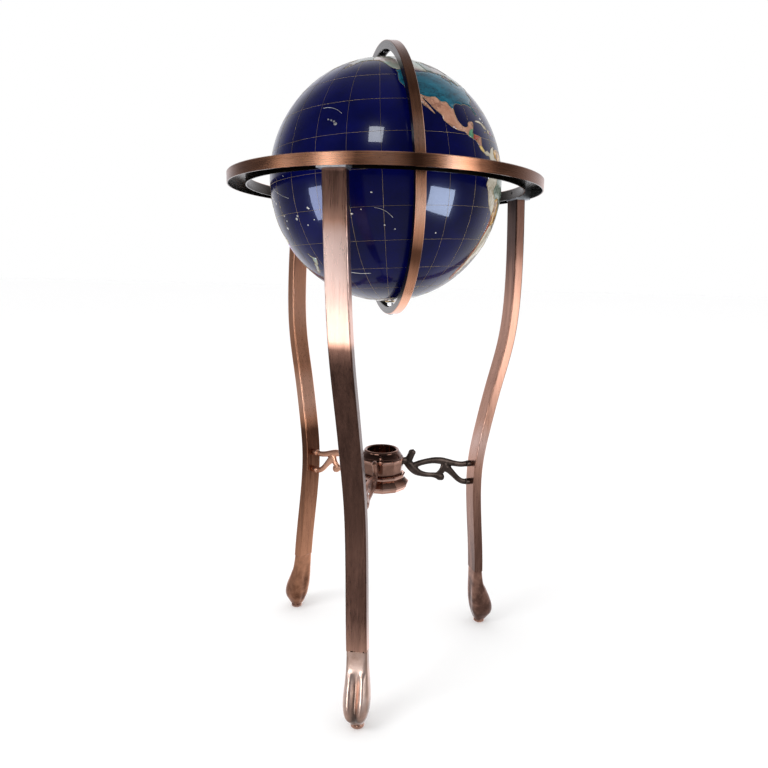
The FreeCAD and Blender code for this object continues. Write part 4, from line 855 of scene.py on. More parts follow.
def tube_mesh(name, lines, radius, sides=6):
    """Round wires along many lines of points, as one mesh.

    A closed line repeats its first point.
    """
    points, faces = [], []
    for line in lines:
        closed = (line[0] - line[-1]).length < 1e-7
        path = line[:-1] if closed else line
        if len(path) < 2:
            continue
        first = len(points)
        for index, point in enumerate(path):
            ahead = path[(index + 1) % len(path)] if closed or index + 1 < len(path) else point
            behind = path[index - 1] if closed or index else point
            along = (ahead - behind).normalized()
            out = (point - GLOBE_CENTRE).normalized()
            side = along.cross(out).normalized()
            out = side.cross(along)
            points.extend(point + radius * (math.cos(angle) * side + math.sin(angle) * out)
                          for angle in round_angles(sides))
        faces.extend(ring_faces(first, len(path), sides, closed))
        if not closed:
            faces.extend(end_faces(first, len(path), sides))
    return mesh_from(name, points, faces)


def recalculated(mesh):
    """The mesh with all its faces turned outwards."""
    shape = bmesh.new()
    shape.from_mesh(mesh)
    bmesh.ops.recalc_face_normals(shape, faces=shape.faces)
    shape.to_mesh(mesh)
    shape.free()
    return mesh


# ---------------------------------------------------------------- the globe
WIRE_RADIUS = 0.24 * MM
GRID_RADIUS = 0.17 * MM
DRIFT_RADIUS = 0.34 * MM
SEA_DEPTH = 2.0 * MM
INLAY_LIFT = 0.10 * MM
INLAY_DEPTH = 0.6 * MM
GRID_STEP = 15                    # degrees between the sea's grid wires
MOST_OF_MAP = 0.4                 # no country covers this share of the map


def thicken(piece, depth):
    """Gives a skin its depth, inwards."""
    skin = piece.modifiers.new("skin", "SOLIDIFY")
    skin.thickness, skin.offset = depth, -1.0


def make_sea(body, material):
    """The blue skin: a full sphere with a round opening at each pole for its bush."""
    rows, columns = 144, 288
    points = [on_globe(360 * column / columns, (2 * row / rows - 1) * MAP_TOP)
              for row in range(rows + 1) for column in range(columns)]
    sea = new_object("stone_sea", mesh_from("stone_sea", points, ring_faces(0, rows + 1, columns)),
                     material, body)
    thicken(sea, SEA_DEPTH)
    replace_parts(sea, "stone_skin_north", "stone_skin_south")


def make_lands(chart, body, stones):
    """Each stone's countries as one thin inlay.

    Returns the edges of the chart where a wire parts two regions.
    """
    owner = {}
    for stone_name, places in STONES_AT.items():
        members = set()
        for place in places:
            found = chart.region(place)
            if len(found) > MOST_OF_MAP * len(chart.faces):
                raise ValueError("the region round %s runs out to sea" % (place,))
            members |= found
            for index in found:
                owner[index] = (stone_name, place)
        corners = sorted({corner for index in members for corner in chart.faces[index]})
        numbers = {corner: place for place, corner in enumerate(corners)}
        points = [on_globe(chart.points[corner].x, chart.points[corner].y, INLAY_LIFT)
                  for corner in corners]
        faces = [tuple(numbers[corner] for corner in chart.faces[index])
                 for index in sorted(members)]
        thicken(new_object("inlay_" + stone_name, mesh_from(stone_name, points, faces),
                           stones[stone_name], body), INLAY_DEPTH)
    return [pair for pair in sorted(chart.fences)
            if len({owner.get(index) for index in chart.beside[pair]}) > 1]


def chained(pairs):
    """Joins loose edges end to end into lines of point numbers."""
    links = {}
    for first, second in pairs:
        links.setdefault(first, set()).add(second)
        links.setdefault(second, set()).add(first)
    lines = []
    starts = sorted(point for point, ends in links.items() if len(ends) != 2) + sorted(links)
    for start in starts:
        while links[start]:
            line = [start]
            while links[line[-1]]:
                here = line[-1]
                there = min(links[here])
                links[here].discard(there)
                links[there].discard(here)
                line.append(there)
            lines.append(line)
    return lines


def make_wires(chart, parted, loops, body, material):
    """Brass wires: one round every stone, and the sea's grid between the coasts."""
    borders = [[on_globe(chart.points[corner].x, chart.points[corner].y) for corner in line]
               for line in chained(parted)]
    new_object("border_wires", tube_mesh("border_wires", borders, WIRE_RADIUS), material, body)
    circles = [[(SEAM_WEST + step, latitude) for step in range(361)]
               for latitude in range(-75, 76, GRID_STEP)]
    meridians = [[(longitude, latitude) for latitude in range(-84, 85)]
                 for longitude in range(-165, 195, GRID_STEP)]
    runs = []
    for places in circles + meridians:
        run = []
        for place in places + [None]:
            if place is None or on_land(*place, loops):
                if len(run) > 1:
                    runs.append(run)
                run = []
            else:
                run.append(on_globe(*place))
    new_object("grid_wires", tube_mesh("grid_wires", runs, GRID_RADIUS, 5), material, body)


# Islands too small to cut in stone: longitude, latitude and radius in degrees.
ISLANDS = (
    (-155.6, 19.6, 0.8), (-156.5, 20.8, 0.55), (-158, 21.5, 0.5), (-159.6, 22.1, 0.45),
    (178, -17.8, 0.8), (179.3, -16.6, 0.6), (-172.3, -13.6, 0.55), (-171.6, -14, 0.5),
    (-175, -21.1, 0.45), (-149.5, -17.6, 0.6), (-151, -16.6, 0.4), (-140, -9.3, 0.45),
    (165.5, -21.3, 0.9), (167, -15.5, 0.6), (168, -18, 0.5), (160, -9.3, 0.8), (157.3, -8, 0.6),
    (155, -6.2, 0.8), (144.8, 13.5, 0.45), (134.5, 7.5, 0.4), (158.2, 6.9, 0.4), (171.3, 7.1, 0.4),
    (173, 1.4, 0.4), (-157.4, 1.9, 0.4), (-109.4, -27.1, 0.4), (-91, -0.7, 0.6), (-90.4, -0.3, 0.4),
    (-176.5, -44, 0.4), (-130, -25, 0.35), (-134.9, -23.1, 0.4), (-145, -16, 0.35),
    (-162, -10.5, 0.35), (-160, -21.2, 0.4), (-169.9, -19, 0.4), (-25.5, 37.8, 0.5),
    (-16, 28.3, 0.7), (-24, 15.1, 0.55), (-14.4, -7.9, 0.35), (-5.7, -16, 0.35),
    (57.6, -20.3, 0.45), (55.5, -21.1, 0.45), (55.5, -4.6, 0.35), (73, 4.2, 0.35),
    (92.8, 12.4, 0.5), (70, -49.3, 0.8), (-58.8, -51.8, 1.0), (-37, -54.3, 0.6), (9, 40, 1.0),
    (9.1, 42.2, 0.6), (14, 37.6, 1.2), (24.9, 35.2, 0.8), (33.2, 35.1, 0.7), (18, 57.5, 0.6),
    (-7, 62, 0.4), (-61, 14.6, 0.4), (-61.4, 16.2, 0.4), (-77.8, 24.6, 0.7), (-76, 23.2, 0.4),
    (-64.7, 32.3, 0.35))


def make_islands(body, material):
    """Small domed dots of pale metal, a little ragged and longer from east to west."""
    points, faces = [], []
    rings, sides = 4, 14
    height, sunk, raggedness, shortness = 0.30 * MM, 0.05 * MM, 0.22, 0.8
    for longitude, latitude, size in ISLANDS:
        centre = on_globe(longitude, latitude)
        out = (centre - GLOBE_CENTRE).normalized()
        east = POLE.cross(out).normalized()
        north = out.cross(east)
        radius = math.radians(size) * GLOBE_RADIUS
        first = len(points)
        for ring in range(rings + 1):
            slope = 0.5 * math.pi * ring / rings
            spread, rise = math.cos(slope), height * math.sin(slope) - sunk
            for angle in round_angles(sides):
                edge = Vector((math.cos(angle), math.sin(angle), longitude))
                ragged = 1 + raggedness * noise.noise(edge)
                points.append(centre + out * rise + radius * spread * ragged * (
                    math.cos(angle) * east + shortness * math.sin(angle) * north))
        faces.extend(ring_faces(first, rings + 1, sides))
        faces.append(end_faces(first, rings + 1, sides)[0])
    new_object("island_dots", mesh_from("island_dots", points, faces), material, body)


# Drift lines of the ocean, as pale inlaid arcs: (longitude, latitude) points.
DRIFTS = (
    ((-164, 28), (-158, 27.2), (-153, 24)),
    ((-139, -15.5), (-134.5, -17), (-131, -20)),
    ((159, -2.5), (168, -6), (176, -8.5)),
    ((-172, -43), (-160, -47), (-146, -48)),
    ((-38, 30), (-31, 27), (-27, 21)),
    ((-14, -22), (-8, -27), (-5, -33)),
    ((70, -18), (80, -21), (90, -20)),
)


def smooth_arc(points):
    """A parabola through three map points."""
    start, middle, end = (Vector(point) for point in points)
    handle = 2 * middle - (start + end) / 2
    return [start * (1 - t) ** 2 + handle * 2 * t * (1 - t) + end * t * t
            for t in (step / 20 for step in range(21))]


def make_drifts(body, material):
    """The pale arcs of the ocean's drift."""
    lines = [[on_globe(point.x, point.y) for point in smooth_arc(points)] for points in DRIFTS]
    new_object("drift_lines", tube_mesh("drift_lines", lines, DRIFT_RADIUS), material, body)


# ---------------------------------------------------------------- cast feet
# Sections of the hoof, all in mm: height above the floor, distance of its middle from the stand's
# axis, half width, half depth, depth of the cleft and swell of the toes.
HOOF = (
    (104.4, 177.7, 14.5, 7.5, 0.0, 0.0), (96.0, 178.3, 14.5, 8.0, 0.0, 0.0),
    (86.0, 179.4, 14.7, 8.9, 0.0, 0.0), (78.0, 180.5, 15.1, 9.9, 0.4, 0.2),
    (70.0, 181.9, 15.7, 11.4, 2.6, 2.0), (60.0, 184.2, 16.6, 13.4, 4.4, 2.6),
    (48.0, 187.6, 17.7, 16.2, 4.8, 2.4), (37.0, 190.7, 18.2, 18.0, 4.8, 2.0),
    (27.0, 192.9, 17.6, 18.7, 4.4, 1.4), (19.0, 193.7, 15.6, 17.2, 4.0, 0.8),
    (12.5, 192.7, 12.8, 13.6, 2.0, 0.3), (8.0, 192.0, 10.8, 10.8, 0.5, 0.0),
    (6.3, 191.9, 9.0, 9.0, 0.0, 0.0))


def row_at(rows, share):
    """A row of numbers between the rows of a table, smoothly blended."""
    place = share * (len(rows) - 1)
    index = min(int(place), len(rows) - 2)
    around = (rows[max(index - 1, 0)], rows[index], rows[index + 1],
              rows[min(index + 2, len(rows) - 1)])
    return [blend(*numbers, place - index) for numbers in zip(*around)]


def between(value, low, high):
    """The value's way from low to high, held between 0 and 1."""
    return min(max((value - low) / (high - low), 0.0), 1.0)


def rounded_square(angle, squareness):
    """A point (out, across) on a unit circle that squareness below 1 swells into a square."""
    return tuple(math.copysign(abs(part) ** squareness, part)
                 for part in (math.cos(angle), math.sin(angle)))


TUBE_SQUARENESS = 0.36            # of the leg tube's section
TOE_SQUARENESS = 0.78             # of the hoof's section near the floor


def make_foot(name, azimuth, material, flank_shade):
    """A cloven hoof: two rounded toes parted by a groove that opens towards the floor.

    Its attribute marks, from 0 to 1, the cleft, browner with patina, and the flanks' painted shade.
    """
    place = leg_place(azimuth)
    levels, sides = 110, 128
    points, hollow = [], []
    for level in range(levels + 1):
        height, centre, half_width, half_depth, cleft, swell = row_at(HOOF, level / levels)
        tube_like = between(height, 30, 90)
        squareness = TOE_SQUARENESS - (TOE_SQUARENESS - TUBE_SQUARENESS) * tube_like
        for angle in round_angles(sides):
            out, across = rounded_square(angle, squareness)
            front = max(math.cos(angle), 0.0) ** 0.5
            groove = math.exp(-abs(across / 0.25) ** 1.8) * front
            toes = math.exp(-((abs(across) - 0.58) / 0.28) ** 2) * front
            rear = math.exp(-(across / 0.35) ** 2) * max(-math.cos(angle), 0.0) ** 0.5
            depth = half_depth * out - cleft * groove + swell * toes + 0.22 * cleft * rear
            cell = Vector((across * 2.4, out * 2.4, height * 0.09 + azimuth))
            ripple = 0.28 * noise.noise(cell) * (1 - tube_like)
            points.append(place @ (Vector((centre + depth + ripple, half_width * across,
                                           height)) * MM))
            cleft_shade = between(cleft, 0, 6) * max(groove, 0.45 * rear)
            hollow.append(max(cleft_shade, flank_shade * between(abs(across), 0.80, 0.96)))
    faces = ring_faces(0, levels + 1, sides) + end_faces(0, levels + 1, sides)
    mesh = recalculated(mesh_from("hoof_" + name, points, faces))
    shade = mesh.attributes.new("hollow", "FLOAT", "POINT")
    shade.data.foreach_set("value", hollow)
    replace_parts(new_object("hoof_" + name, mesh, material, "stand"), "foot_" + name)


def make_weld(name, azimuth, material):
    """The thin, uneven bead where the leg tube meets its foot."""
    place = leg_place(azimuth)
    height, radius, half_width, half_depth = HOOF[0][:4]
    sunk = 0.15                   # mm by which the bead's middle lies under the tube's skin
    rings, sides = 150, 8
    points = []
    for angle in round_angles(rings):
        out, across = rounded_square(angle, TUBE_SQUARENESS)
        spot = noise.noise(Vector((math.cos(angle) * 4, math.sin(angle) * 4, azimuth)))
        lump = max(0.0, 0.15 + 1.5 * spot)
        thick, tall = 0.06 + 0.62 * lump, 0.30 + 1.3 * lump
        centre = Vector((radius + (half_depth - sunk) * out, (half_width - sunk) * across,
                         height + 0.5 * spot))
        outward = Vector((out, across, 0)).normalized()
        for turn in round_angles(sides):
            points.append(place @ ((centre + thick * math.cos(turn) * outward
                                    + Vector((0, 0, tall * math.sin(turn)))) * MM))
    mesh = recalculated(mesh_from("weld_" + name, points, ring_faces(0, rings, sides, True)))
    new_object("weld_" + name, mesh, material, "stand")


# ---------------------------------------------------------------- vine arms
# Strokes in the arm's own plane, all in mm: distance from the stand's axis, height, half thickness.
ARM_STROKES = (
    ((31.0, 312.5, 6.2), (37.0, 312.5, 6.0), (42.0, 310.5, 6.2), (47.0, 305.5, 7.2),
     (53.0, 298.8, 7.4), (59.5, 292.6, 6.4), (67.0, 288.6, 5.0), (77.0, 285.6, 4.3),
     (87.0, 284.2, 4.3), (95.0, 282.4, 5.2), (100.5, 279.8, 6.2), (103.5, 278.2, 5.6)),
    ((43.0, 308.0, 6.6), (46.6, 315.0, 6.4), (49.4, 320.6, 6.0), (51.6, 325.6, 6.2),
     (52.2, 327.2, 6.0)),
    ((50.0, 300.0, 5.4), (57.0, 303.6, 5.2), (66.0, 306.2, 5.0), (78.0, 308.0, 5.0),
     (90.0, 308.4, 5.4), (102.0, 306.8, 6.0), (114.0, 303.6, 5.6), (126.0, 300.2, 5.0),
     (138.0, 297.8, 4.8), (147.0, 297.8, 4.9), (152.0, 298.0, 4.9)),
    ((96.0, 283.0, 4.8), (102.4, 287.6, 5.4), (106.4, 293.6, 5.8), (109.0, 300.0, 6.6),
     (110.6, 303.6, 5.4)),
    ((106.0, 300.0, 5.8), (112.0, 294.4, 6.8), (118.5, 288.6, 5.8), (125.5, 281.4, 5.0),
     (133.0, 273.8, 4.7), (140.5, 268.8, 4.7), (147.0, 267.2, 4.9), (152.0, 267.0, 4.9)),
    ((103.0, 281.0, 5.6), (104.6, 277.4, 5.0), (106.2, 275.2, 3.6)),
)
ARM_FLATNESS, ARM_LEAST_DEPTH = 0.62, 3.4
# Round pads against the leg: height, and distance of their screw face from the stand's axis.
BOSSES = ((298.0, 164.7), (267.0, 164.9))
BOSS_START, BOSS_END, BOSS_RADIUS = -17.0, -8.1, 5.2      # from that face


def add_stroke(points, faces, stroke, place):
    """One limb of the casting: a round bar whose thickness follows the stroke's points."""
    steps, sides = 10 * (len(stroke) - 1), 20
    rows = [row_at(stroke, step / steps) for step in range(steps + 1)]
    first = len(points)
    for index, (radius, height, thick) in enumerate(rows):
        ahead, behind = rows[min(index + 1, steps)], rows[max(index - 1, 0)]
        along = Vector((ahead[0] - behind[0], 0, ahead[1] - behind[1])).normalized()
        side = Vector((-along.z, 0, along.x))
        depth = max(thick, ARM_LEAST_DEPTH) * ARM_FLATNESS
        for angle in round_angles(sides):
            point = Vector((radius, 0, height)) + side * thick * math.cos(angle) + Vector(
                (0, depth * math.sin(angle), 0))
            points.append(place @ (point * MM))
    faces.extend(ring_faces(first, steps + 1, sides))
    for row, inner, ring, order in ((rows[0], rows[1], first, -1),
                                    (rows[-1], rows[-2], first + steps * sides, 1)):
        radius, height, thick = row
        lead = Vector((radius - inner[0], 0, height - inner[1])).normalized() * thick * 0.6
        tip = len(points)
        points.append(place @ ((Vector((radius, 0, height)) + lead) * MM))
        for step in range(sides):
            edge = (ring + step, ring + (step + 1) % sides)
            faces.append((*edge[::order], tip))


def add_boss(points, faces, height, face, place):
    """A straight round bar along the arm, up to its screw face."""
    sides = 32
    first = len(points)
    for out in (face + BOSS_START, face + BOSS_END):
        points.extend(place @ (Vector((out, BOSS_RADIUS * math.cos(angle),
                                       height + BOSS_RADIUS * math.sin(angle))) * MM)
                      for angle in round_angles(sides))
    faces.extend(ring_faces(first, 2, sides) + end_faces(first, 2, sides))


def make_arm(name, azimuth, material):
    """A vine-like casting: its strokes are melted together, then smoothed."""
    place = Matrix.Rotation(math.radians(azimuth), 4, "Z")
    points, faces = [], []
    for stroke in ARM_STROKES:
        add_stroke(points, faces, stroke, place)
    for height, face in BOSSES:
        add_boss(points, faces, height, face, place)
    rough = bpy.data.objects.new("arm_rough", mesh_from("arm_rough", points, faces))
    bpy.context.scene.collection.objects.link(rough)
    melt = rough.modifiers.new("melt", "REMESH")
    melt.mode, melt.voxel_size = "VOXEL", 0.8 * MM
    even = rough.modifiers.new("even", "SMOOTH")
    even.factor, even.iterations = 0.5, 6
    bpy.context.view_layer.update()
    finished = bpy.data.meshes.new_from_object(rough.evaluated_get(
        bpy.context.evaluated_depsgraph_get()))
    bpy.data.objects.remove(rough)
    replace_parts(new_object("vine_" + name, finished, material, "stand"),
                "arm_" + name)


# ---------------------------------------------------------------- finishes
# Where each ring's axis stands: a point on it, and the turn that brings Z along it.
RING_HOME = ((0, 0, 0), (0, 0, 0))
MERIDIAN_TURN = axes(TILT_AXIS, POLE, TILT_AXIS.cross(POLE)).to_euler()
MERIDIAN_HOME = (tuple(GLOBE_CENTRE), tuple(MERIDIAN_TURN))

# Tones go from 0, brown patina, to 1, polished, and also carry painted light and shade. A leg's
# and a hoof's go by height in metres; each leg's bands are partly patina, partly painted
# reflections.
LEG_PATINA_AND_REFLECTIONS = {
    "front": (
        (0.1, 0.62), (0.12, 0.46), (0.15, 0.28), (0.2, 0.2), (0.3, 0.2), (0.42, 0.15),
        (0.495, 0.12), (0.513, 0.26), (0.524, 0.76), (0.545, 0.76), (0.6, 0.98), (0.632, 1.0),
        (0.648, 0.88), (0.664, 0.52), (0.682, 0.36), (0.72, 0.3)),
    "right": (
        (0.1, 0.3), (0.2, 0.36), (0.27, 0.5), (0.335, 0.86), (0.38, 0.6), (0.44, 0.58),
        (0.56, 0.56), (0.62, 0.36), (0.66, 0.16), (0.72, 0.12)),
    "left": (
        (0.1, 0.62), (0.15, 0.54), (0.245, 0.38), (0.3, 0.24), (0.335, 0.26), (0.36, 0.72),
        (0.385, 1.0), (0.42, 0.9), (0.45, 0.56), (0.48, 0.6), (0.535, 0.8), (0.62, 0.74),
        (0.72, 0.58)),
}
# A ring's tones go by degrees round it: painted highlights where it catches the light, and
# painted shade elsewhere.
RING_HIGHLIGHTS_AND_SHADE = (
    (-180, 0.6), (-165, 0.4), (-144, 0.3), (-130, 0.36), (-117, 0.4), (-110, 0.62), (-103, 0.56),
    (-96, 0.8), (-91, 0.68), (-87, 0.36), (-82, 0.66), (-77, 0.72), (-70, 0.24), (-65, 0.46),
    (-60, 1.0), (-55, 0.66), (-49, 0.26), (-38, 0.3), (-18, 0.28), (0, 0.45), (30, 0.5), (60, 0.74),
    (90, 0.48), (120, 0.68), (150, 0.45), (180, 0.6))
MERIDIAN_HIGHLIGHTS_AND_SHADE = (
    (-180, 0.55), (-165, 0.5), (-140, 0.76), (-110, 0.45), (-90, 0.55), (-70, 0.6), (-58, 0.74),
    (-46, 0.52), (-33, 0.24), (-15, 1.0), (-2, 0.5), (4, 0.54), (9, 1.0), (14, 0.95), (20, 0.5),
    (30, 0.22), (59, 0.24), (76, 0.4), (90, 0.45), (110, 0.7), (140, 0.4), (165, 0.7), (180, 0.55))
LEG_METALS = {"front": ROSE_COPPER, "right": ROSE_COPPER, "left": ORANGE_COPPER}
# The arms are copies of one casting; their different metals and tones are painted light and shade.
ARM_METALS = {"front": ROSE_COPPER, "right": GREY_BRONZE, "left": ORANGE_COPPER}
ARM_LIGHT_AND_SHADE = {"front": 0.30, "right": 0.10, "left": 0.74}
# The front hoof is polished, its bright lobes partly painted highlight; the others keep the
# tones of their legs, painted reflections included. Each is darker just above the floor.
HOOF_METALS = {"front": PALE_COPPER, "right": ROSE_COPPER, "left": ORANGE_COPPER}
HOOF_POLISH_AND_REFLECTIONS = {
    "front": (
        (0.006, 0.55), (0.018, 0.44), (0.028, 0.62), (0.045, 0.92), (0.075, 0.96), (0.09, 0.78),
        (0.102, 0.74), (0.105, 0.62)),
    "right": ((0.006, 0.3), (0.02, 0.24), (0.04, 0.32), (0.105, 0.4)),
    "left": ((0.006, 0.46), (0.02, 0.34), (0.04, 0.44), (0.105, 0.6)),
}
FLANK_SHADES = {"front": 0.70, "right": 0.0, "left": 0.0}      # how dark the painted shade on the hoof's flanks is
# The front bead is dark as a weld; the other two take their legs' tones, painted light included.
WELD_TONES = {"front": 0.08, "right": 0.28, "left": 0.58}
# The hub by height in metres: painted highlights on its rings, painted shade in its grooves.
HUB_HIGHLIGHTS_AND_SHADE = (
    (0.2745, 0.6), (0.283, 0.72), (0.2895, 0.3), (0.293, 0.74), (0.2975, 0.66), (0.2985, 0.14),
    (0.302, 0.36), (0.3165, 0.4), (0.3205, 0.8), (0.3235, 0.2), (0.3275, 0.26), (0.332, 0.14),
    (0.3335, 0.26), (0.3354, 0.36))


def hoof_tone(stops):
    """Tone by height above the floor, browner in the cleft and with painted shade on the flanks."""
    def tone(shader):
        hollow = shader.add("Attribute", {}, "Fac", attribute_name="hollow")
        kept = shader.maths("SUBTRACT", 1.0, shader.maths("MULTIPLY", hollow, 0.64))
        return shader.maths("MULTIPLY", height_tone(stops)(shader), kept)

    return tone


def cast_tone(middle):
    """Patina with worn edges, for a casting."""
    def tone(shader):
        worn = shader.add("NewGeometry", {}, "Pointiness")
        return shader.spread(worn, 0.47, 0.56, middle - 0.12, middle + 0.34)

    return tone


def paint(material, *nodes):
    """Gives every material slot of these CAD nodes one finish."""
    for node in nodes:
        for entry in frame["nodes"][node].material_slots:
            entry.material = material


def soften(node, width):
    """Rounds a CAD node's sharp corners, so that they catch the light."""
    corners = frame["nodes"][node].modifiers.new("corners", "BEVEL")
    corners.width, corners.segments = width, 3
    corners.limit_method, corners.angle_limit = "ANGLE", math.radians(18)
    corners.harden_normals = True


def finish_rings():
    """Both rings, unplated and darker with painted shade where the channel is open or hidden."""
    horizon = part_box("horizon_ring")[1]
    low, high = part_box("meridian_ring")
    for node, name, home, tones, inside in (
            ("horizon_ring", "ring_copper", RING_HOME, RING_HIGHLIGHTS_AND_SHADE,
             (horizon.x - 0.5 * MM, horizon.z - 0.5 * MM)),
            ("meridian_ring", "meridian_copper", MERIDIAN_HOME, MERIDIAN_HIGHLIGHTS_AND_SHADE,
             ((high.z - low.z) / 2 - 0.9 * MM,))):
        paint(copper(name, round_ring(*home), angle_tone(home, tones), ORANGE_COPPER,
                     roughness=0.25, clouds=0.30, raw_and_shaded=inner_side(home, *inside), grain=0.12), node)


def finish_leg(name, azimuth):
    """A leg with its glide, and the hoof, weld bead and arm that stand in for the CAD castings."""
    # The leg's tones by height are patina with painted reflections and painted shade.
    paint(copper("leg_copper_" + name, lengthwise, height_tone(LEG_PATINA_AND_REFLECTIONS[name]), LEG_METALS[name],
                 clouds=0.30), "leg_" + name)
    soften("leg_" + name, 1.4 * MM)
    make_foot(name, azimuth, copper("hoof_copper_" + name, even_grain, hoof_tone(HOOF_POLISH_AND_REFLECTIONS[name]),
                                    HOOF_METALS[name], roughness=0.30), FLANK_SHADES[name])
    make_weld(name, azimuth, copper("weld_copper_" + name, even_grain,
                                    flat_tone(WELD_TONES[name]), roughness=0.45))
    make_arm(name, azimuth, copper("arm_bronze_" + name, even_grain, cast_tone(ARM_LIGHT_AND_SHADE[name]),
                                   ARM_METALS[name], roughness=0.30))
    paint(copper("glide_copper_" + name, even_grain, flat_tone(0.52)), "glide_" + name)


def finish_metal():
    """Every CAD node but the globe's stone."""
    finish_rings()
    for name, azimuth in LEGS:
        finish_leg(name, azimuth)
    hub = ("compass_cup", "hub_skirt")
    paint(copper("hub_bronze", even_grain, height_tone(HUB_HIGHLIGHTS_AND_SHADE), roughness=0.14, clouds=0.25),
          *hub)
    for node in hub:
        soften(node, 0.5 * MM)
    paint(copper("fixings_copper", even_grain, flat_tone(0.35)),
          "leg_screws", "arm_screws", "hub_screw", "hub_washer", "hub_nut")
    paint(plain_metal("zinc_plate", (0.50, 0.52, 0.55), 0.35),
          *(part + name for part in ("ring_block_", "leg_cap_") for name, _ in LEGS))
    paint(plain_metal("bright_nickel", (0.80, 0.80, 0.81), 0.12),
          "pole_pin_north", "pole_pin_south", "pole_nuts", "pivot_screw_near", "pivot_screw_far",
          "pivot_nuts")
    paint(plain_metal("turned_brass", (0.72, 0.52, 0.24), 0.20),
          "pivot_spacers", "pivot_bush_near", "pivot_bush_far", "pole_bush_north",
          "pole_bush_south")
    paint(plain_plastic("nylon", (0.80, 0.79, 0.74), 0.45), "pole_washers")
    paint(plain_plastic("core_resin", (0.62, 0.56, 0.42), 0.55),
          "core_north", "core_south", "equator_band")


# Each stone's two colours, its vein's colour or None, and the scales of its clouds and veins.
STONES = {
    "turquoise": ((0.006, 0.068, 0.110), (0.015, 0.135, 0.200), (0.005, 0.024, 0.036), 40, 26, 3),
    "salmon": ((0.40, 0.19, 0.12), (0.58, 0.33, 0.23), (0.20, 0.09, 0.06), 50, 26),
    "cream": ((0.52, 0.47, 0.36), (0.66, 0.62, 0.52), (0.36, 0.29, 0.20), 40, 18),
    "jade": ((0.05, 0.20, 0.10), (0.16, 0.38, 0.22), None, 70),
    "red_jasper": ((0.26, 0.035, 0.020), (0.46, 0.10, 0.055), (0.10, 0.02, 0.015), 60, 30),
    "grey_green": ((0.13, 0.19, 0.15), (0.30, 0.36, 0.29), (0.08, 0.10, 0.08), 45, 20),
    "marble": ((0.50, 0.50, 0.50), (0.78, 0.78, 0.76), (0.20, 0.20, 0.21), 30, 22),
    "amethyst": ((0.13, 0.05, 0.22), (0.32, 0.17, 0.44), None, 60),
    "calcite": ((0.70, 0.46, 0.12), (0.84, 0.66, 0.28), None, 55),
    "onyx": ((0.012, 0.012, 0.013), (0.05, 0.05, 0.055), (0.32, 0.31, 0.29), 40, 16),
}
# Each shell's middle, green and pink colours.
SHELLS = {
    "mother_of_pearl": ((0.40, 0.38, 0.33), (0.27, 0.36, 0.31), (0.45, 0.36, 0.36)),
    "smoky_shell": ((0.20, 0.20, 0.18), (0.12, 0.19, 0.17), (0.26, 0.21, 0.20)),
}


def make_globe():
    """The globe's skin on its stone, and everything that is set into it."""
    stones = {name: stone(name, *looks) for name, looks in STONES.items()}
    stones.update((name, pearl(name, *colours)) for name, colours in SHELLS.items())
    stones["tiger_eye"] = banded_stone("tiger_eye", (0.20, 0.085, 0.02), (0.62, 0.36, 0.10), 70.0)
    lines = map_lines()
    chart = Chart(lines)
    loops = [line for line, closed in lines if closed]
    wire = plain_metal("wire_brass", (0.50, 0.38, 0.20), 0.30)
    silver = plain_metal("dot_silver", (0.78, 0.77, 0.72), 0.22)
    make_sea("globe", lapis())
    make_wires(chart, make_lands(chart, "globe", stones), loops, "globe", wire)
    make_islands("globe", silver)
    make_drifts("globe", silver)


# ---------------------------------------------------------------- studio
CAMERA_PLACE = Vector((185.3, -913.2, 601.9)) * MM
CAMERA_YAW, CAMERA_PITCH, CAMERA_ROLL = 0.1735, -0.183, -0.022
CAMERA_SHIFT = (-0.0194, 0.0072)
FOCAL_SHARE = 616.48 / 768        # focal length over image width
FLOOR_REACH = 30.0                # metres from the middle to the floor's edge


def make_camera():
    """The camera at the photo's angle."""
    camera = bpy.data.cameras.new("camera")
    camera.sensor_width = 36.0
    camera.lens = FOCAL_SHARE * camera.sensor_width
    camera.shift_x, camera.shift_y = CAMERA_SHIFT
    camera.clip_start, camera.clip_end = 0.05, 100.0
    stand = bpy.data.objects.new("camera", camera)
    turn = (Matrix.Rotation(CAMERA_YAW, 4, "Z") @ Matrix.Rotation(CAMERA_PITCH, 4, "X")
            @ Matrix.Rotation(CAMERA_ROLL, 4, "Y") @ Matrix.Rotation(math.pi / 2, 4, "X"))
    stand.matrix_world = Matrix.Translation(CAMERA_PLACE) @ turn
    bpy.context.scene.collection.objects.link(stand)
    bpy.context.scene.camera = stand


def soft_light(name, place, target, width, height, brightness, colour=(1, 1, 1), mirrored=True,
               spread=True, receivers=None):
    """A soft box aimed at target; brightness is its radiance.

    mirrored lets polished surfaces show it, spread lets it brighten matt ones, and receivers limits
    it to a collection.
    """
    light = bpy.data.lights.new(name, "AREA")
    light.shape, light.size, light.size_y = "RECTANGLE", width, height
    light.energy, light.color = brightness * math.pi * width * height, colour
    lamp = bpy.data.objects.new(name, light)
    lamp.location = place
    lamp.rotation_euler = (Vector(target) - Vector(place)).to_track_quat("-Z", "Y").to_euler()
    lamp.visible_camera = False
    lamp.visible_glossy = mirrored
    lamp.visible_diffuse = spread
    if receivers:
        lamp.light_linking.receiver_collection = receivers
    bpy.context.scene.collection.objects.link(lamp)


def gathered(name, wanted):
    """A collection of the mesh pieces whose name passes the test."""
    group = bpy.data.collections.new(name)
    for piece in bpy.context.scene.objects:
        if piece.type == "MESH" and wanted(piece.name):
            group.objects.link(piece)
    return group


def mirror_place(longitude, latitude, distance):
    """Where a light stands so that the globe mirrors it to the camera at this spot."""
    spot = on_globe(longitude, latitude)
    out = (spot - GLOBE_CENTRE).normalized()
    ray = (spot - CAMERA_PLACE).normalized()
    return spot + ray.reflect(out) * distance, spot


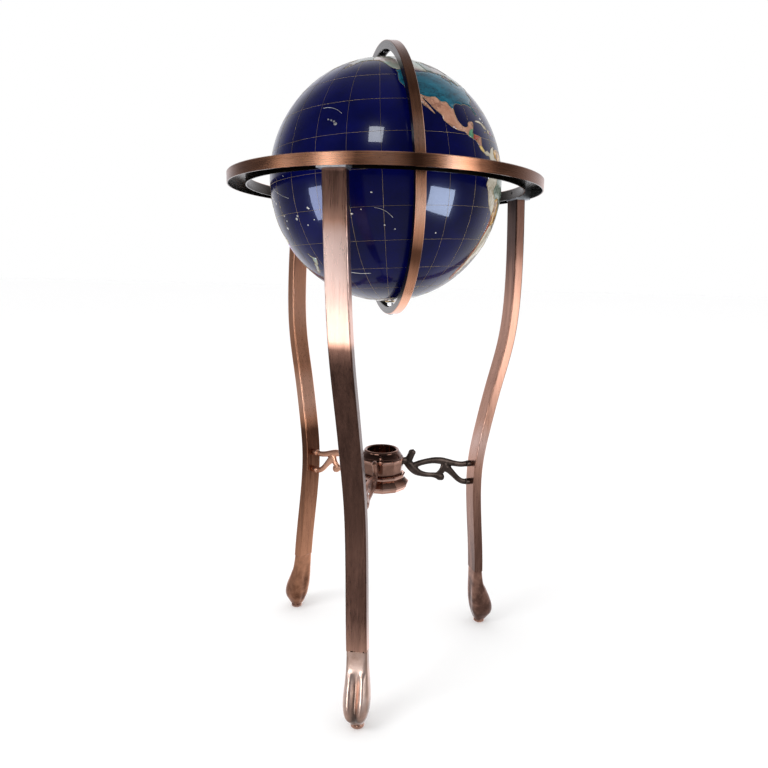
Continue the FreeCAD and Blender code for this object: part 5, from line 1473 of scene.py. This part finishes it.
def make_floor():
    """A plain pale floor that polished surfaces do not show."""
    corners = [(x * FLOOR_REACH, y * FLOOR_REACH, 0)
               for x, y in ((-1, -1), (1, -1), (1, 1), (-1, 1))]
    mesh = mesh_from("floor", corners, [(0, 1, 2, 3)])
    floor = bpy.data.objects.new("floor", mesh)
    bpy.context.scene.collection.objects.link(floor)
    pale = Shader("pale_floor", Base_Color=(0.93, 0.93, 0.93, 1), Roughness=0.9,
                  Emission_Color=(1, 1, 1, 1), Emission_Strength=0.10)
    mesh.materials.append(pale.material)
    floor.visible_glossy = False


def make_lights():
    """Soft boxes; some reach only the stone or only the metal, as the photo's own windows do."""
    def of_globe(name):
        return name.startswith(("stone_", "inlay_"))

    globe = gathered("globe_side", of_globe)
    metals = gathered("metal_side", lambda name: not of_globe(name) and name != "floor")

    def pane(name, at, far, size, colour, bright, dim, rise):
        """A light that the globe mirrors at a spot, and a softer one there for the metal."""
        place, spot = mirror_place(*at, far)
        width, height = size
        soft_light(name, place, spot, width, height, bright, colour, spread=False, receivers=globe)
        above = place + Vector((0, 0, rise))
        soft_light(name + "_soft", above, spot, width, height + 2 * rise, dim, receivers=metals)

    soft_light("key", (-1.9, -1.9, 2.6), (0, 0, 0.5), 1.3, 1.3, 6.0, mirrored=False)
    soft_light("strip", (-1.31, -2.70, 0.75), (0, 0, 0.5), 0.58, 0.95, 3.5, receivers=metals)
    soft_light("kicker", (-0.42, -1.36, 0.22), (0, -0.2, 0.05), 0.80, 0.40, 3.6, spread=False,
               receivers=metals)
    pane("window", at=(-137.1, 13.7), far=2.2, size=(0.48, 0.56), colour=(0.87, 0.92, 1.0),
         bright=28.0, dim=7.0, rise=0.0)
    pane("right_panel", at=(-109.0, -13.3), far=1.2, size=(0.60, 0.48), colour=(0.62, 0.74, 1.0),
         bright=38.0, dim=2.6, rise=0.20)
    pane("left_panel", at=(-165.4, -12.1), far=1.2, size=(0.34, 0.55), colour=(0.57, 0.66, 1.0),
         bright=28.0, dim=2.2, rise=0.12)


# What polished surfaces mirror: a dim room in front, a bright wall behind and a grey floor, each as
# (place from -1 to 1 along the axis, shifted to 0 to 1; colour).
ROOM_BY_Y = ((0.10, (0.03, 0.03, 0.035)), (0.50, (0.08, 0.08, 0.09)), (0.68, (0.26, 0.26, 0.27)),
             (0.86, (1.10, 1.10, 1.15)))
ROOM_BY_Z = ((0.22, (0.55, 0.55, 0.56)), (0.34, (0.32, 0.32, 0.33)), (0.44, (0.26, 0.26, 0.27)),
             (0.56, (0.05, 0.05, 0.06)), (0.93, (0.03, 0.03, 0.03)), (1.00, (0.22, 0.22, 0.22)))


def make_room():
    """A white world, except for what polished surfaces mirror."""
    world = bpy.data.worlds.new("studio")
    bpy.context.scene.world = world
    world.use_nodes = True
    room = Nodes(world.node_tree)
    plain = room.tree.nodes["Background"].outputs[0]
    room.tree.nodes["Background"].inputs[0].default_value = (1, 1, 1, 1)
    _, y, z = room.split(room.add("TexCoord", {}, "Generated"))
    wall, floor = (room.ramp(room.spread(axis, -1.0, 1.0), stops)
                   for axis, stops in ((y, ROOM_BY_Y), (z, ROOM_BY_Z)))
    mirrored = room.add("Background", {0: room.mix(1.0, wall, floor, "ADD")})
    glossy = room.add("LightPath", {}, "Is Glossy Ray")
    both = room.add("MixShader", {0: glossy, 1: plain, 2: mirrored})
    room.tree.links.new(both, room.tree.nodes["World Output"].inputs[0])


bpy.context.scene.view_settings.view_transform = "Standard"
make_camera()
finish_metal()
make_globe()
make_floor()
make_lights()
make_room()
